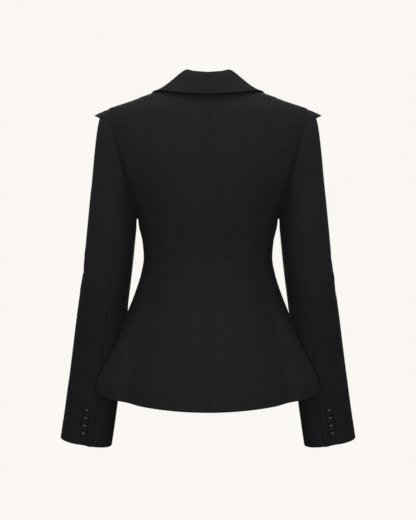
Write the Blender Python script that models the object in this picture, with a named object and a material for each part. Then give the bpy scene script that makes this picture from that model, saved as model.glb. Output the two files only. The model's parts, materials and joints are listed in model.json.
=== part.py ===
"""A fitted blazer, filled out as it is worn, with no wearer inside.

Metres, +Z up. The back of the garment faces -Y and the wearer's right side is +X.
The origin lies between the shoulders, at shoulder height, where a wearer carries it.
Every cut piece of cloth is one thin closed wall, parted from its neighbours by a seam gap.
"""

from collections import namedtuple
from math import cos, pi, radians, sin

import bmesh
import bpy
import numpy as np
from mathutils import Vector

# Cloth and seams
WALL = 0.0020
COLLAR_WALL = 0.0021
SEAM_GAP = 0.0003
LIE_GAP = 0.0008

# Shoulder, armhole and hem
NECK_X = 0.0760
NECK_Z = 0.0245
SHOULDER_SLOPE = 0.3583
SHOULDER_END_X = 0.1945
SHOULDER_END_Z = NECK_Z - SHOULDER_SLOPE * (SHOULDER_END_X - NECK_X)
CENTRE_NECK_Z = 0.0120
UNDERARM_Z = -0.2330
ARMHOLE_LEAN = 0.2720
ARMHOLE_BOW = 0.0030
HIP_Z = -0.3500
HEM_Z = -0.5690
HEM_DROP_BACK = 0.0270
HEM_DROP_FRONT = 0.0160
HEM_DROP_POWER = 1.7
NECK_BEND = 0.7

# Flutes: soft hollows of the back's skirt, just outside the princess seams
FLUTE_DEPTH = 0.0120
FLUTE_OUT = 0.0130
FLUTE_WIDTH = 0.0170
FLUTE_START_Z = -0.300
FLUTE_FULL_Z = -0.430
FLUTE_SIDE_FADE = 2.0

# Front edge, roll line and lapel
LAP_X = 0.0200
LAP_LIFT = 0.0062
LAP_FADE_X = 0.0700
LAP_FADE_LOW_Z = -0.2150
LAP_FADE_HIGH_Z = -0.1500
BREAK_Z = -0.2850
ROLL_TOP_X = 0.0705
ROLL_TOP_Z = 0.0080
LAPEL_TIP_X = 0.1280
LAPEL_TIP_Z = -0.0450
LAPEL_FOOT = 0.0060
LAPEL_BELLY = 0.0100
NOTCH_X = 0.0965
NOTCH_Z = -0.0160

# Sleeves
BICEP_Z = -0.2460
CUFF_Z = -0.6740
CAP_REACH = 0.0240
CAP_REACH_UNDER = 0.12
CAP_LEAVE = (0.95, 0.0, -0.31)
CAP_FULL_UNDER = 0.45
CAP_FULL_TOP = 0.97
CAP_TUCK = 0.0024
BACK_SLEEVE_SEAM = radians(-101.5)
FRONT_SLEEVE_SEAM = radians(130.0)

# Shoulder points
POINT_SPREAD = radians(52.0)
POINT_LENGTH = 0.0281
POINT_END_SHARE = 0.12
POINT_TAPER = 1.25
POINT_WALL = 0.0024
POINT_FALL = radians(24.8)
POINT_SPRING = radians(12.0)
POINT_COLUMNS = 12
POINT_ROWS = 5

# Buttons
CUFF_BUTTON_RADIUS = 0.0064
CUFF_BUTTON_ANGLE = radians(-85.0)
CUFF_BUTTON_TOP_Z = -0.5960
CUFF_BUTTON_STEP = 0.0161
CUFF_BUTTON_COUNT = 4
FRONT_BUTTON_RADIUS = 0.0100
FRONT_BUTTON_Z = -0.3010
CUFF_BUTTON_SEAT = 0.0005
FRONT_BUTTON_SEAT = 0.0012
BUTTON_SIDES = 16

# A button's turned section, from the middle of its face to the middle of its underside,
# as shares of its radius.
ButtonPoint = namedtuple("ButtonPoint", "radius height")
BUTTON_SECTION = (
    ButtonPoint(0.00, 0.28),
    ButtonPoint(0.62, 0.28),
    ButtonPoint(0.80, 0.40),
    ButtonPoint(0.94, 0.36),
    ButtonPoint(1.00, 0.22),
    ButtonPoint(0.90, 0.00),
    ButtonPoint(0.00, 0.00),
)

# Body sections from neck to hem. Round is the power of the cosine that gives the depth:
# 1 is an ellipse, less is squarer, 2 is a flat lens that comes to an edge at the side.
Section = namedtuple("Section", "z half_width back_depth back_round front_depth front_round")
SECTIONS = (
    Section(NECK_Z, NECK_X, 0.0600, 1.00, 0.0600, 1.00),
    Section(0.0120, 0.1128, 0.0660, 1.00, 0.0680, 1.00),
    Section(0.0000, 0.1463, 0.0725, 0.94, 0.0750, 1.00),
    Section(SHOULDER_END_Z, SHOULDER_END_X, 0.0815, 0.82, 0.0845, 1.00),
    Section(-0.030, 0.2000, 0.0865, 0.73, 0.0900, 0.95),
    Section(-0.060, 0.1985, 0.0950, 0.65, 0.1000, 0.88),
    Section(-0.120, 0.1830, 0.1050, 0.69, 0.1150, 0.84),
    Section(-0.160, 0.1680, 0.1070, 0.78, 0.1238, 0.84),
    Section(-0.200, 0.1500, 0.1040, 0.87, 0.1275, 0.86),
    Section(UNDERARM_Z, 0.1362, 0.0990, 0.95, 0.1258, 0.89),
    Section(-0.246, 0.1346, 0.0970, 0.96, 0.1240, 0.90),
    Section(-0.277, 0.1275, 0.0905, 1.00, 0.1175, 0.95),
    Section(-0.308, 0.1252, 0.0860, 1.00, 0.1100, 1.00),
    Section(-0.339, 0.1305, 0.0880, 1.03, 0.1068, 1.15),
    Section(-0.371, 0.1404, 0.0945, 1.10, 0.1085, 1.40),
    Section(-0.4154, 0.1576, 0.1050, 1.22, 0.1150, 1.80),
    Section(-0.470, 0.1788, 0.1180, 1.36, 0.1220, 2.00),
    Section(-0.512, 0.1980, 0.1255, 1.46, 0.1270, 2.00),
    Section(-0.548, 0.2143, 0.1300, 1.53, 0.1305, 2.00),
    Section(HEM_Z, 0.2176, 0.1320, 1.57, 0.1320, 2.00),
)

# The shoulder princess seam of the back: how far it lies from the centre at each height.
PRINCESS_TOP_X = 0.1340
PRINCESS_TOP_Z = NECK_Z - SHOULDER_SLOPE * (PRINCESS_TOP_X - NECK_X)
SeamPoint = namedtuple("SeamPoint", "z x")
PRINCESS = (
    SeamPoint(PRINCESS_TOP_Z, PRINCESS_TOP_X),
    SeamPoint(-0.076, 0.1175),
    SeamPoint(-0.125, 0.1080),
    SeamPoint(-0.198, 0.0955),
    SeamPoint(-0.268, 0.0855),
    SeamPoint(-0.308, 0.0830),
    SeamPoint(-0.350, 0.0875),
    SeamPoint(-0.391, 0.0980),
    SeamPoint(-0.4255, 0.1100),
    SeamPoint(-0.469, 0.1230),
    SeamPoint(-0.524, 0.1350),
    SeamPoint(HEM_Z, 0.1415),
)

# Heights of the rows of the panels, along the princess seam.
SHOULDER_ROWS = (NECK_Z, 0.0185, 0.0115)
NECKLINE_ROW = -0.0115
YOKE_ROW = -0.060
FULL_ROW = -0.160
PANEL_ROWS = (
    PRINCESS_TOP_Z, 0.0032, -0.0005, -0.0055, NECKLINE_ROW, -0.024, -0.040, YOKE_ROW, -0.085, -0.110,
    -0.135, FULL_ROW, -0.180, -0.201, -0.219, UNDERARM_Z, -0.246, -0.2655, BREAK_Z, -0.308, -0.330,
    -0.355, -0.385, -0.420, -0.455, -0.490, -0.530, HEM_Z,
)
BACK_COLUMNS = 8
SIDE_COLUMNS = 8
FRONT_COLUMNS = 14
LAPEL_COLUMNS = 6
LAPEL_ROWS = 16

# Rings of the right sleeve, square to its bent centre line. The first and last lie beyond
# its bicep and cuff, and only give the way it runs there.
Ring = namedtuple("Ring", "z x y half_width half_depth")
RINGS = (
    Ring(-0.2000, 0.1825, 0.002, 0.0478, 0.0565),
    Ring(BICEP_Z, 0.1872, 0.004, 0.0478, 0.056),
    Ring(-0.3300, 0.1958, 0.008, 0.0477, 0.053),
    Ring(-0.4154, 0.2080, 0.026, 0.0487, 0.047),
    Ring(-0.5000, 0.2190, 0.048, 0.0500, 0.040),
    Ring(-0.5960, 0.2320, 0.072, 0.0515, 0.035),
    Ring(CUFF_Z, 0.2445, 0.092, 0.0518, 0.031),
    Ring(-0.7000, 0.2490, 0.0985, 0.0518, 0.031),
)
CAP_ROWS = (0.0, 0.05, 0.12, 0.20, 0.30, 0.42, 0.55, 0.70, 0.85)
ARM_ROWS = (0.0, 0.07, 0.15, 0.24, 0.34, 0.44, 0.54, 0.64, 0.74, 0.83, 0.92, 1.0)
UPPER_COLUMNS = 16
UNDER_COLUMNS = 9

# Collar stations round the neck: 0 is centre back, 1 the shoulder seam, 2 the roll line.
# The fold is a place. The outer edge lies over the body at a turn in degrees and a height,
# lifted off it. Sag is how far the fall sinks between fold and edge.
Station = namedtuple("Station", "at fold_x fold_y fold_z edge_turn edge_z edge_lift sag")
STATIONS = (
    Station(0.00, 0.0000, -0.0575, 0.0480, 0.0, 0.0010, 0.0080, 0.000),
    Station(0.25, 0.0262, -0.0508, 0.0508, 22.0, 0.0035, 0.0075, 0.001),
    Station(0.50, 0.0407, -0.0360, 0.0552, 45.0, 0.0090, 0.0060, 0.003),
    Station(0.75, 0.0490, -0.0190, 0.0500, 72.0, 0.0135, 0.0042, 0.008),
    Station(1.00, 0.0520, 0.0000, 0.0465, 90.0, 0.0135, 0.0038, 0.009),
    Station(1.35, 0.0570, 0.0240, 0.0385, 110.0, 0.0085, 0.0042, 0.006),
    Station(1.70, 0.0650, 0.0425, 0.0265, 125.0, 0.0005, 0.0040, 0.002),
    Station(2.00, 0.0680, 0.0550, 0.0170, 135.0, -0.0075, 0.0036, 0.000),
)
STAND_STEPS = (0.0, 0.30, 0.60, 0.82)
FALL_STEPS = (0.0, 0.16, 0.34, 0.50, 0.68, 0.84, 1.0)
FOLD_ROLL = 0.20
FOLD_ROLL_LEAST = 0.0045
STAND_RISE = 0.25
FALL_HANG = 0.40
GORGE_SHARE = 0.5

# Finishes
CLOTH_BLACK = (0.0150, 0.0150, 0.0165, 1.0)
CLOTH_ROUGHNESS = 0.85
BUTTON_BLACK = (0.0120, 0.0120, 0.0130, 1.0)
BUTTON_ROUGHNESS = 0.35
SHARP_ANGLE = radians(40.0)

# Small steps by which directions are measured on the body, along the sleeve and round it
TURN_STEP = 0.015
LEVEL_STEP = 0.002
RING_STEP = 0.020
SLEEVE_STEP = 0.010
MERGE_DISTANCE = 1e-6


def unit(vectors):
    """Vectors brought to length one."""
    vectors = np.asarray(vectors, dtype=float)
    return vectors / np.linalg.norm(vectors, axis=-1, keepdims=True)


def smooth_curve(places, values):
    """A curve through the values of a table that never swings past them."""
    order = np.argsort(places)
    at = np.asarray(places, dtype=float)[order]
    value = np.asarray(values, dtype=float)[order]
    gap = np.diff(at)
    slope = np.diff(value) / gap
    tangent = np.zeros_like(value)
    tangent[0], tangent[-1] = slope[0], slope[-1]
    for i in range(1, len(slope)):
        if slope[i - 1] * slope[i] > 0.0:
            tangent[i] = 2.0 * slope[i - 1] * slope[i] / (slope[i - 1] + slope[i])

    def curve(place):
        place = np.clip(place, at[0], at[-1])
        i = np.clip(np.searchsorted(at, place) - 1, 0, len(gap) - 1)
        t = (place - at[i]) / gap[i]
        rise = value[i] * (1 + 2 * t) * (1 - t) ** 2 + value[i + 1] * t * t * (3 - 2 * t)
        return rise + gap[i] * t * (1 - t) * (tangent[i] * (1 - t) - tangent[i + 1] * t)

    return curve


def column_curve(table, column):
    """The smooth curve of one column of a table, against the table's first column."""
    return smooth_curve([row[0] for row in table], [getattr(row, column) for row in table])


def ease(value, start, end):
    """0 at start, 1 at end, with a soft run between."""
    t = np.clip((value - start) / (end - start), 0.0, 1.0)
    return t * t * (3 - 2 * t)


def bezier(p0, p1, p2, p3, t):
    """A point on a cubic curve."""
    return (1 - t) ** 3 * p0 + 3 * t * (1 - t) ** 2 * p1 + 3 * t * t * (1 - t) * p2 + t ** 3 * p3


half_width_below = column_curve(SECTIONS, "half_width")
back_depth = column_curve(SECTIONS, "back_depth")
back_round = column_curve(SECTIONS, "back_round")
front_depth = column_curve(SECTIONS, "front_depth")
front_round = column_curve(SECTIONS, "front_round")
princess_x = column_curve(PRINCESS, "x")


def half_width(z):
    """Half the body's width: straight along the shoulder, then by the table."""
    shoulder = NECK_X + (NECK_Z - np.minimum(z, NECK_Z)) / SHOULDER_SLOPE
    return np.where(z > SHOULDER_END_Z, shoulder, half_width_below(z))


def form(turn, level):
    """The outer face of the body. Turn runs from centre back, through the right side, to the front."""
    turn, level = np.broadcast_arrays(np.asarray(turn, dtype=float), np.asarray(level, dtype=float))
    across = np.cos(turn)
    front = across < 0.0
    power = np.where(front, front_round(level), back_round(level))
    depth = np.where(front, front_depth(level), -back_depth(level)) * np.abs(across) ** power
    drop = np.where(front, HEM_DROP_FRONT, HEM_DROP_BACK) * np.abs(across) ** HEM_DROP_POWER
    drop = drop * ease(level, HIP_Z, HEM_Z)
    x = half_width(level) * np.sin(turn)
    from_flute = (np.abs(x) - princess_x(level) - FLUTE_OUT) / FLUTE_WIDTH
    flute = FLUTE_DEPTH * np.exp(-from_flute ** 2) * ease(level, FLUTE_START_Z, FLUTE_FULL_Z)
    depth = depth + np.where(front, 0.0, flute * np.minimum(1.0, FLUTE_SIDE_FADE * np.abs(across)))
    return np.stack([x, depth, level - drop], axis=-1)


def lapped_form(turn, level):
    """The body form, raised near the centre front where the right front lies over the left."""
    point = form(turn, level)
    near_centre = 1.0 - ease(point[..., 0], LAP_X, LAP_FADE_X)
    below_break = 1.0 - ease(level, LAP_FADE_LOW_Z, LAP_FADE_HIGH_Z)
    point[..., 1] += LAP_LIFT * near_centre * below_break * (np.cos(turn) < 0.0)
    return point


def face_normal(surface, turn, level):
    """The outward direction of a surface, level on both sides of a seam so that walls mitre there."""
    along = surface(turn + TURN_STEP, level) - surface(turn - TURN_STEP, level)
    up = surface(turn, level + LEVEL_STEP) - surface(turn, level - LEVEL_STEP)
    return unit(np.cross(along, up))


def trim(grid):
    """Draw the four edges of a grid of points in by half a seam gap."""
    trimmed = grid.copy()
    for edge, beside in ((0, 1), (-1, -2)):
        trimmed[edge] += unit(grid[beside] - grid[edge]) * SEAM_GAP / 2
        trimmed[:, edge] += unit(grid[:, beside] - grid[:, edge]) * SEAM_GAP / 2
    return trimmed


def mirrored(grid):
    """A grid of the right side turned into one of the left."""
    return grid * np.array([-1.0, 1.0, 1.0])


def finish_material(name, colour, roughness):
    """A plain dark finish."""
    material = bpy.data.materials.new(name)
    material.use_nodes = True
    shader = material.node_tree.nodes["Principled BSDF"]
    shader.inputs["Base Color"].default_value = colour
    shader.inputs["Roughness"].default_value = roughness
    shader.inputs["Metallic"].default_value = 0.0
    return material


def add_object(name, bm, finish):
    """Turn a mesh under construction into a named, smoothly shaded object of the garment."""
    bmesh.ops.recalc_face_normals(bm, faces=bm.faces)
    mesh = bpy.data.meshes.new(name)
    bm.to_mesh(mesh)
    bm.free()
    mesh.shade_smooth()
    mesh.set_sharp_from_angle(angle=SHARP_ANGLE)
    mesh.materials.append(finish_material(name + "_finish", *finish))
    piece = bpy.data.objects.new(name, mesh)
    piece.parent = garment
    bpy.context.scene.collection.objects.link(piece)
    return piece


def cloth_wall(name, outer, inner):
    """One closed wall of cloth between an outer and an inner grid of points."""
    bm = bmesh.new()
    faces = [[[bm.verts.new(point) for point in row] for row in grid] for grid in (outer, inner)]
    rows, columns = outer.shape[:2]
    for grid in faces:
        for r in range(rows - 1):
            for c in range(columns - 1):
                bm.faces.new((grid[r][c], grid[r][c + 1], grid[r + 1][c + 1], grid[r + 1][c]))
    rim = [(0, c) for c in range(columns)]
    rim += [(r, columns - 1) for r in range(1, rows)]
    rim += [(rows - 1, c) for c in range(columns - 2, -1, -1)]
    rim += [(r, 0) for r in range(rows - 2, 0, -1)]
    for (r, c), (next_r, next_c) in zip(rim, rim[1:] + rim[:1]):
        bm.faces.new((faces[0][r][c], faces[1][r][c], faces[1][next_r][next_c], faces[0][next_r][next_c]))
    return add_object(name, bm, (CLOTH_BLACK, CLOTH_ROUGHNESS))


def panel_grids(surface, first_edge, last_edge, columns, bend=1.0):
    """Outer and inner points of a panel, row by row, between two edges given as (turn, level)."""
    share = np.linspace(0.0, 1.0, columns + 1)
    first_turn, first_level = (values[:, None] for values in first_edge)
    last_turn, last_level = (values[:, None] for values in last_edge)
    turn = first_turn + (last_turn - first_turn) * share
    level = first_level + (last_level - first_level) * share ** bend
    outer = surface(turn, level)
    inner = outer - WALL * face_normal(surface, turn, level)
    return trim(outer), trim(inner)


def armhole_x(z):
    """How far the armhole seam lies from the centre."""
    below = z - SHOULDER_END_Z
    share = np.clip(below / (UNDERARM_Z - SHOULDER_END_Z), 0.0, 1.0)
    return SHOULDER_END_X + ARMHOLE_LEAN * below - ARMHOLE_BOW * np.sin(pi * share)


def turn_at(x, level):
    """The turn, on the back, of the point of the form that lies x from the centre."""
    return np.arcsin(np.clip(x / half_width(level), -1.0, 1.0))


panel_rows = np.array(PANEL_ROWS)
back_rows = np.array(SHOULDER_ROWS + PANEL_ROWS)
armhole_rows = np.interp(panel_rows, (UNDERARM_Z, PRINCESS_TOP_Z), (UNDERARM_Z, SHOULDER_END_Z))
side_rows = np.where(panel_rows <= UNDERARM_Z, panel_rows, armhole_rows)
in_armhole = (panel_rows > UNDERARM_Z) & (panel_rows < PRINCESS_TOP_Z)
side_turn = np.where(in_armhole, turn_at(armhole_x(side_rows), side_rows), pi / 2)


def princess_turn(level):
    """The turn of the princess seam, which runs into the shoulder seam at its top."""
    turn = turn_at(princess_x(level), level)
    return np.where(level >= PRINCESS_TOP_Z, pi / 2, turn)


def build_backs():
    """The two back panels, from the centre back seam to the princess seams."""
    centre = np.interp(back_rows, (YOKE_ROW, NECK_Z), (YOKE_ROW, CENTRE_NECK_Z))
    centre = np.where(back_rows < YOKE_ROW, back_rows, centre)
    edges = (np.zeros_like(centre), centre), (princess_turn(back_rows), back_rows)
    grids = panel_grids(form, *edges, BACK_COLUMNS, bend=NECK_BEND)
    cloth_wall("back_right", *grids)
    cloth_wall("back_left", *(mirrored(grid) for grid in grids))


def build_side_backs():
    """The two side back panels, from the princess seams to the armholes and side seams."""
    edges = (princess_turn(panel_rows), panel_rows), (side_turn, side_rows)
    grids = panel_grids(form, *edges, SIDE_COLUMNS)
    cloth_wall("side_back_right", *grids)
    cloth_wall("side_back_left", *(mirrored(grid) for grid in grids))


def front_edge_x(level):
    """The free edge of the right front: neckline, then roll line, then the lapped front edge."""
    neck = np.interp(level, (ROLL_TOP_Z, NECK_Z), (ROLL_TOP_X, NECK_X))
    roll = np.interp(level, (BREAK_Z, ROLL_TOP_Z), (-LAP_X, ROLL_TOP_X))
    return np.where(level > ROLL_TOP_Z, neck, roll)


edge_levels = (HEM_Z, FULL_ROW, NECKLINE_ROW, PRINCESS_TOP_Z), (HEM_Z, FULL_ROW, ROLL_TOP_Z, NECK_Z)
edge_rows = np.interp(panel_rows, *edge_levels)


def build_fronts():
    """The two fronts, from the side seams to the free edges, the right one over the left."""
    edge_turn = pi - turn_at(front_edge_x(edge_rows), edge_rows)
    edges = (pi - side_turn, side_rows), (edge_turn, edge_rows)
    cloth_wall("front_right", *panel_grids(lapped_form, *edges, FRONT_COLUMNS))
    left = panel_grids(form, *edges, FRONT_COLUMNS)
    cloth_wall("front_left", *(mirrored(grid) for grid in left))


def lapel_grids(surface):
    """A lapel: the front's own points beside the roll line, moved out."""
    rise = np.linspace(0.0, 1.0, LAPEL_ROWS + 1)[:, None]
    share = np.linspace(0.0, 1.0, LAPEL_COLUMNS + 1)
    roll_z = BREAK_Z + (ROLL_TOP_Z - BREAK_Z) * rise
    roll_x = front_edge_x(roll_z)
    edge_z = BREAK_Z + (LAPEL_TIP_Z - BREAK_Z) * rise
    foot_x = LAPEL_FOOT - LAP_X
    edge_x = foot_x + (LAPEL_TIP_X - foot_x) * rise + LAPEL_BELLY * np.sin(pi * rise)
    level = roll_z + (edge_z - roll_z) * share
    turn = pi - turn_at(roll_x + (edge_x - roll_x) * share, level)
    out = face_normal(surface, turn, level)
    under = surface(turn, level) + LIE_GAP * out
    return trim(under + COLLAR_WALL * out), trim(under)


def build_lapels():
    """The two lapels, turned back on the fronts."""
    cloth_wall("lapel_right", *lapel_grids(lapped_form))
    cloth_wall("lapel_left", *(mirrored(grid) for grid in lapel_grids(form)))


def neckline(at):
    """Turn and height of the neck seam at a collar station."""
    if at <= 1.0:
        return at * pi / 2, CENTRE_NECK_Z + (NECK_Z - CENTRE_NECK_Z) * at ** NECK_BEND
    level = NECK_Z + (ROLL_TOP_Z - NECK_Z) * (at - 1.0) ** 2
    return pi - float(turn_at(front_edge_x(level), level)), level


def collar_path(at):
    """One section of the collar: up the stand from the neck seam, over the fold and down the fall."""
    turn, level = neckline(at)
    seam = form(turn, level)
    up = unit(seam - form(turn, level - LEVEL_STEP))
    outward = unit(seam * (1.0, 1.0, 0.0))
    foot = seam - WALL * face_normal(form, turn, level) + 2 * SEAM_GAP * up
    value = {name: float(column_curve(STATIONS, name)(at)) for name in Station._fields}
    fold = np.array([value["fold_x"], value["fold_y"], value["fold_z"]])
    edge_turn = radians(value["edge_turn"])
    edge = form(edge_turn, value["edge_z"])
    edge = edge + value["edge_lift"] * face_normal(form, edge_turn, value["edge_z"])
    height = np.linalg.norm(fold - foot)
    roll = outward * max(FOLD_ROLL * height, FOLD_ROLL_LEAST)
    hang = edge + FALL_HANG * (fold - edge) - (0.0, 0.0, value["sag"])
    stand = [bezier(foot, foot + STAND_RISE * height * up, fold - roll, fold, t) for t in STAND_STEPS]
    return stand + [bezier(fold, fold + roll, hang, edge, t) for t in FALL_STEPS]


def grid_normals(grid):
    """Directions square to a grid of points."""
    return unit(np.cross(np.gradient(grid, axis=1), np.gradient(grid, axis=0)))


def collar_end(fold, corner, t):
    """The front end of the fall: down the gorge seam to the notch, then out to the corner."""
    down = min(1.0, t / GORGE_SHARE)
    z = ROLL_TOP_Z + (NOTCH_Z - ROLL_TOP_Z) * down
    turn = pi - float(turn_at(ROLL_TOP_X + (NOTCH_X - ROLL_TOP_X) * down, z))
    lift = STATIONS[-1].edge_lift
    gorge = form(turn, z) + lift * face_normal(form, turn, z) + (0.0, 0.0, SEAM_GAP)
    if t > GORGE_SHARE:
        return gorge + (corner - gorge) * (t - GORGE_SHARE) / (1.0 - GORGE_SHARE)
    rise = fold - form(pi - float(turn_at(ROLL_TOP_X, ROLL_TOP_Z)), ROLL_TOP_Z)
    return gorge + rise * (1.0 - down) ** 2


def build_collar():
    """The collar, one folded wall from one notch round the neck to the other."""
    back_stations = np.linspace(0.0, 1.0, BACK_COLUMNS + 1)
    neck_rows = edge_rows[(edge_rows < NECK_Z) & (edge_rows >= ROLL_TOP_Z)]
    front_stations = 1.0 + np.sqrt((NECK_Z - neck_rows) / (NECK_Z - ROLL_TOP_Z))
    half = np.array([collar_path(at) for at in np.concatenate([back_stations, front_stations])])
    fold_column = len(STAND_STEPS)
    end = half[-1, fold_column:]
    for i, t in enumerate(FALL_STEPS[1:-1], start=1):
        end[i] = collar_end(end[0], end[-1], t)
    outer = np.concatenate([mirrored(half[:0:-1]), half])
    normal = grid_normals(outer)
    lying = end[2:]
    end_normal = face_normal(form, pi - turn_at(lying[:, 0], lying[:, 2]), lying[:, 2])
    normal[-1, fold_column + 2:] = end_normal
    normal[0, fold_column + 2:] = mirrored(end_normal)
    cloth_wall("collar", trim(outer), trim(outer - COLLAR_WALL * normal))


ring_x = column_curve(RINGS, "x")
ring_y = column_curve(RINGS, "y")
ring_half_width = column_curve(RINGS, "half_width")
ring_half_depth = column_curve(RINGS, "half_depth")


def ring_point(angle, z):
    """A point of the sleeve below the underarm, and the way the sleeve runs there."""
    centre = np.array([ring_x(z), ring_y(z), z])
    above, below = z + RING_STEP, z - RING_STEP
    axis = unit([ring_x(below) - ring_x(above), ring_y(below) - ring_y(above), below - above])
    outward = unit(np.array([1.0, 0.0, 0.0]) - axis[0] * axis)
    forward = np.cross(outward, axis)
    point = centre + outward * ring_half_width(z) * cos(angle) + forward * ring_half_depth(z) * sin(angle)
    return point, axis


def armhole_point(angle):
    """A point of the armhole seam. Angle 0 is the shoulder, a quarter turn the front."""
    middle = (SHOULDER_END_Z + UNDERARM_Z) / 2
    z = middle + (SHOULDER_END_Z - middle) * cos(angle)
    turn = turn_at(armhole_x(z), z)
    y = form(pi - turn if sin(angle) > 0 else turn, z)[1]
    z -= CAP_TUCK * max(0.0, cos(angle)) ** 2
    clear = SEAM_GAP * (1.0 - cos(angle))
    return np.array([armhole_x(z) + clear, y, z])


def sleeve_point(angle, travel):
    """The outer face of the sleeve: travel 0 to 1 is the cap, 1 to 2 the arm down to the cuff."""
    if travel >= 1.0:
        return ring_point(angle, BICEP_Z + (CUFF_Z - BICEP_Z) * (travel - 1.0))[0]
    top = cos(angle / 2) ** 2
    seam = armhole_point(angle)
    bicep, axis = ring_point(angle, BICEP_Z)
    leave = unit(CAP_LEAVE) * CAP_REACH * (CAP_REACH_UNDER + (1.0 - CAP_REACH_UNDER) * top)
    full = CAP_FULL_UNDER + (CAP_FULL_TOP - CAP_FULL_UNDER) * top
    arrive = axis * np.linalg.norm(bicep - seam) * full
    return bezier(seam, seam + leave, bicep - arrive, bicep, max(travel, 0.0))


def sleeve_normal(angle, travel):
    """The outward direction of the sleeve."""
    across = sleeve_point(angle + SLEEVE_STEP, travel) - sleeve_point(angle - SLEEVE_STEP, travel)
    above = sleeve_point(angle, max(travel - SLEEVE_STEP, 0.0))
    below = sleeve_point(angle, min(travel + SLEEVE_STEP, 2.0))
    return unit(np.cross(below - above, across))


def sleeve_grids(first_angle, last_angle, columns):
    """Outer and inner points of one half of a sleeve, between its two seams."""
    angles = np.linspace(first_angle, last_angle, columns + 1)
    travels = CAP_ROWS + tuple(1.0 + share for share in ARM_ROWS)
    outer = np.array([[sleeve_point(angle, travel) for angle in angles] for travel in travels])
    normal = np.array([[sleeve_normal(angle, travel) for angle in angles] for travel in travels])
    inner = outer - WALL * normal
    inner[0, :, 0] = outer[0, :, 0] + armhole_x(inner[0, :, 2]) - armhole_x(outer[0, :, 2])
    return trim(outer), trim(inner)


def build_sleeves():
    """Upper and under sleeves, sewn along a front and a back seam."""
    halves = {
        "upper_sleeve": sleeve_grids(BACK_SLEEVE_SEAM, FRONT_SLEEVE_SEAM, UPPER_COLUMNS),
        "under_sleeve": sleeve_grids(FRONT_SLEEVE_SEAM, BACK_SLEEVE_SEAM + 2 * pi, UNDER_COLUMNS),
    }
    for name, grids in halves.items():
        cloth_wall(name + "_right", *grids)
        cloth_wall(name + "_left", *(mirrored(grid) for grid in grids))


def build_shoulder_points():
    """Pointed flanges set in the top of the armhole seams, standing just past the sleeves."""
    lower, upper = [], []
    fall = np.array([cos(POINT_FALL), 0.0, -sin(POINT_FALL)])
    for angle in np.linspace(-POINT_SPREAD, POINT_SPREAD, POINT_COLUMNS + 1):
        length = POINT_LENGTH * max(POINT_END_SHARE, (1.0 - abs(angle) / POINT_SPREAD) ** POINT_TAPER)
        out = sleeve_normal(angle, 0.0)
        root = sleeve_point(angle, 0.0) + LIE_GAP * out
        leave = unit(sleeve_point(angle, SLEEVE_STEP) - sleeve_point(angle, 0.0))
        spring = leave * cos(POINT_SPRING) + out * sin(POINT_SPRING)
        tip = root + fall * length
        lift = fall * cos(POINT_SPRING) + out * sin(POINT_SPRING)
        row = [bezier(root, root + spring * length / 3, tip - lift * length / 3, tip, t)
               for t in np.linspace(0.0, 1.0, POINT_ROWS + 1)]
        lower.append(row)
        upper.append([point + POINT_WALL * out for point in row])
    grids = trim(np.array(upper)), trim(np.array(lower))
    cloth_wall("shoulder_point_right", *grids)
    cloth_wall("shoulder_point_left", *(mirrored(grid) for grid in grids))


def add_button(name, radius, seat, out):
    """A turned button with a raised rim, sewn flat on the cloth."""
    bm = bmesh.new()
    verts = [bm.verts.new((point.radius * radius, 0.0, point.height * radius)) for point in BUTTON_SECTION]
    edges = [bm.edges.new(pair) for pair in zip(verts, verts[1:])]
    turned = {"cent": (0, 0, 0), "axis": (0, 0, 1), "angle": 2 * pi, "steps": BUTTON_SIDES}
    bmesh.ops.spin(bm, geom=verts + edges, **turned)
    bmesh.ops.remove_doubles(bm, verts=bm.verts, dist=MERGE_DISTANCE)
    button = add_object(name, bm, (BUTTON_BLACK, BUTTON_ROUGHNESS))
    button.rotation_euler = Vector(out).to_track_quat("Z", "Y").to_euler()
    button.location = Vector(seat)
    return button


def build_buttons():
    """Four small buttons at each cuff and one at the waist."""
    for i in range(CUFF_BUTTON_COUNT):
        z = CUFF_BUTTON_TOP_Z - i * CUFF_BUTTON_STEP
        travel = 1.0 + (z - BICEP_Z) / (CUFF_Z - BICEP_Z)
        out = sleeve_normal(CUFF_BUTTON_ANGLE, travel)
        seat = sleeve_point(CUFF_BUTTON_ANGLE, travel) + CUFF_BUTTON_SEAT * out
        add_button(f"cuff_button_right_{i + 1}", CUFF_BUTTON_RADIUS, seat, out)
        add_button(f"cuff_button_left_{i + 1}", CUFF_BUTTON_RADIUS, mirrored(seat), mirrored(out))
    out = face_normal(lapped_form, pi, FRONT_BUTTON_Z)
    seat = lapped_form(pi, FRONT_BUTTON_Z) + FRONT_BUTTON_SEAT * out
    add_button("front_button", FRONT_BUTTON_RADIUS, seat, out)


for existing in list(bpy.data.objects):
    bpy.data.objects.remove(existing)
garment = bpy.data.objects.new("blazer", None)
bpy.context.scene.collection.objects.link(garment)
build_backs()
build_side_backs()
build_fronts()
build_lapels()
build_collar()
build_sleeves()
build_shoulder_points()
build_buttons()
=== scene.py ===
"""A fitted black blazer, dressed on its solids: cloth shells, seams, creases, buttons and studio."""

import json
from collections import namedtuple
from math import cos, pi, radians, sin

import bmesh
import bpy
import numpy as np
from mathutils import Matrix, Vector


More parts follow.
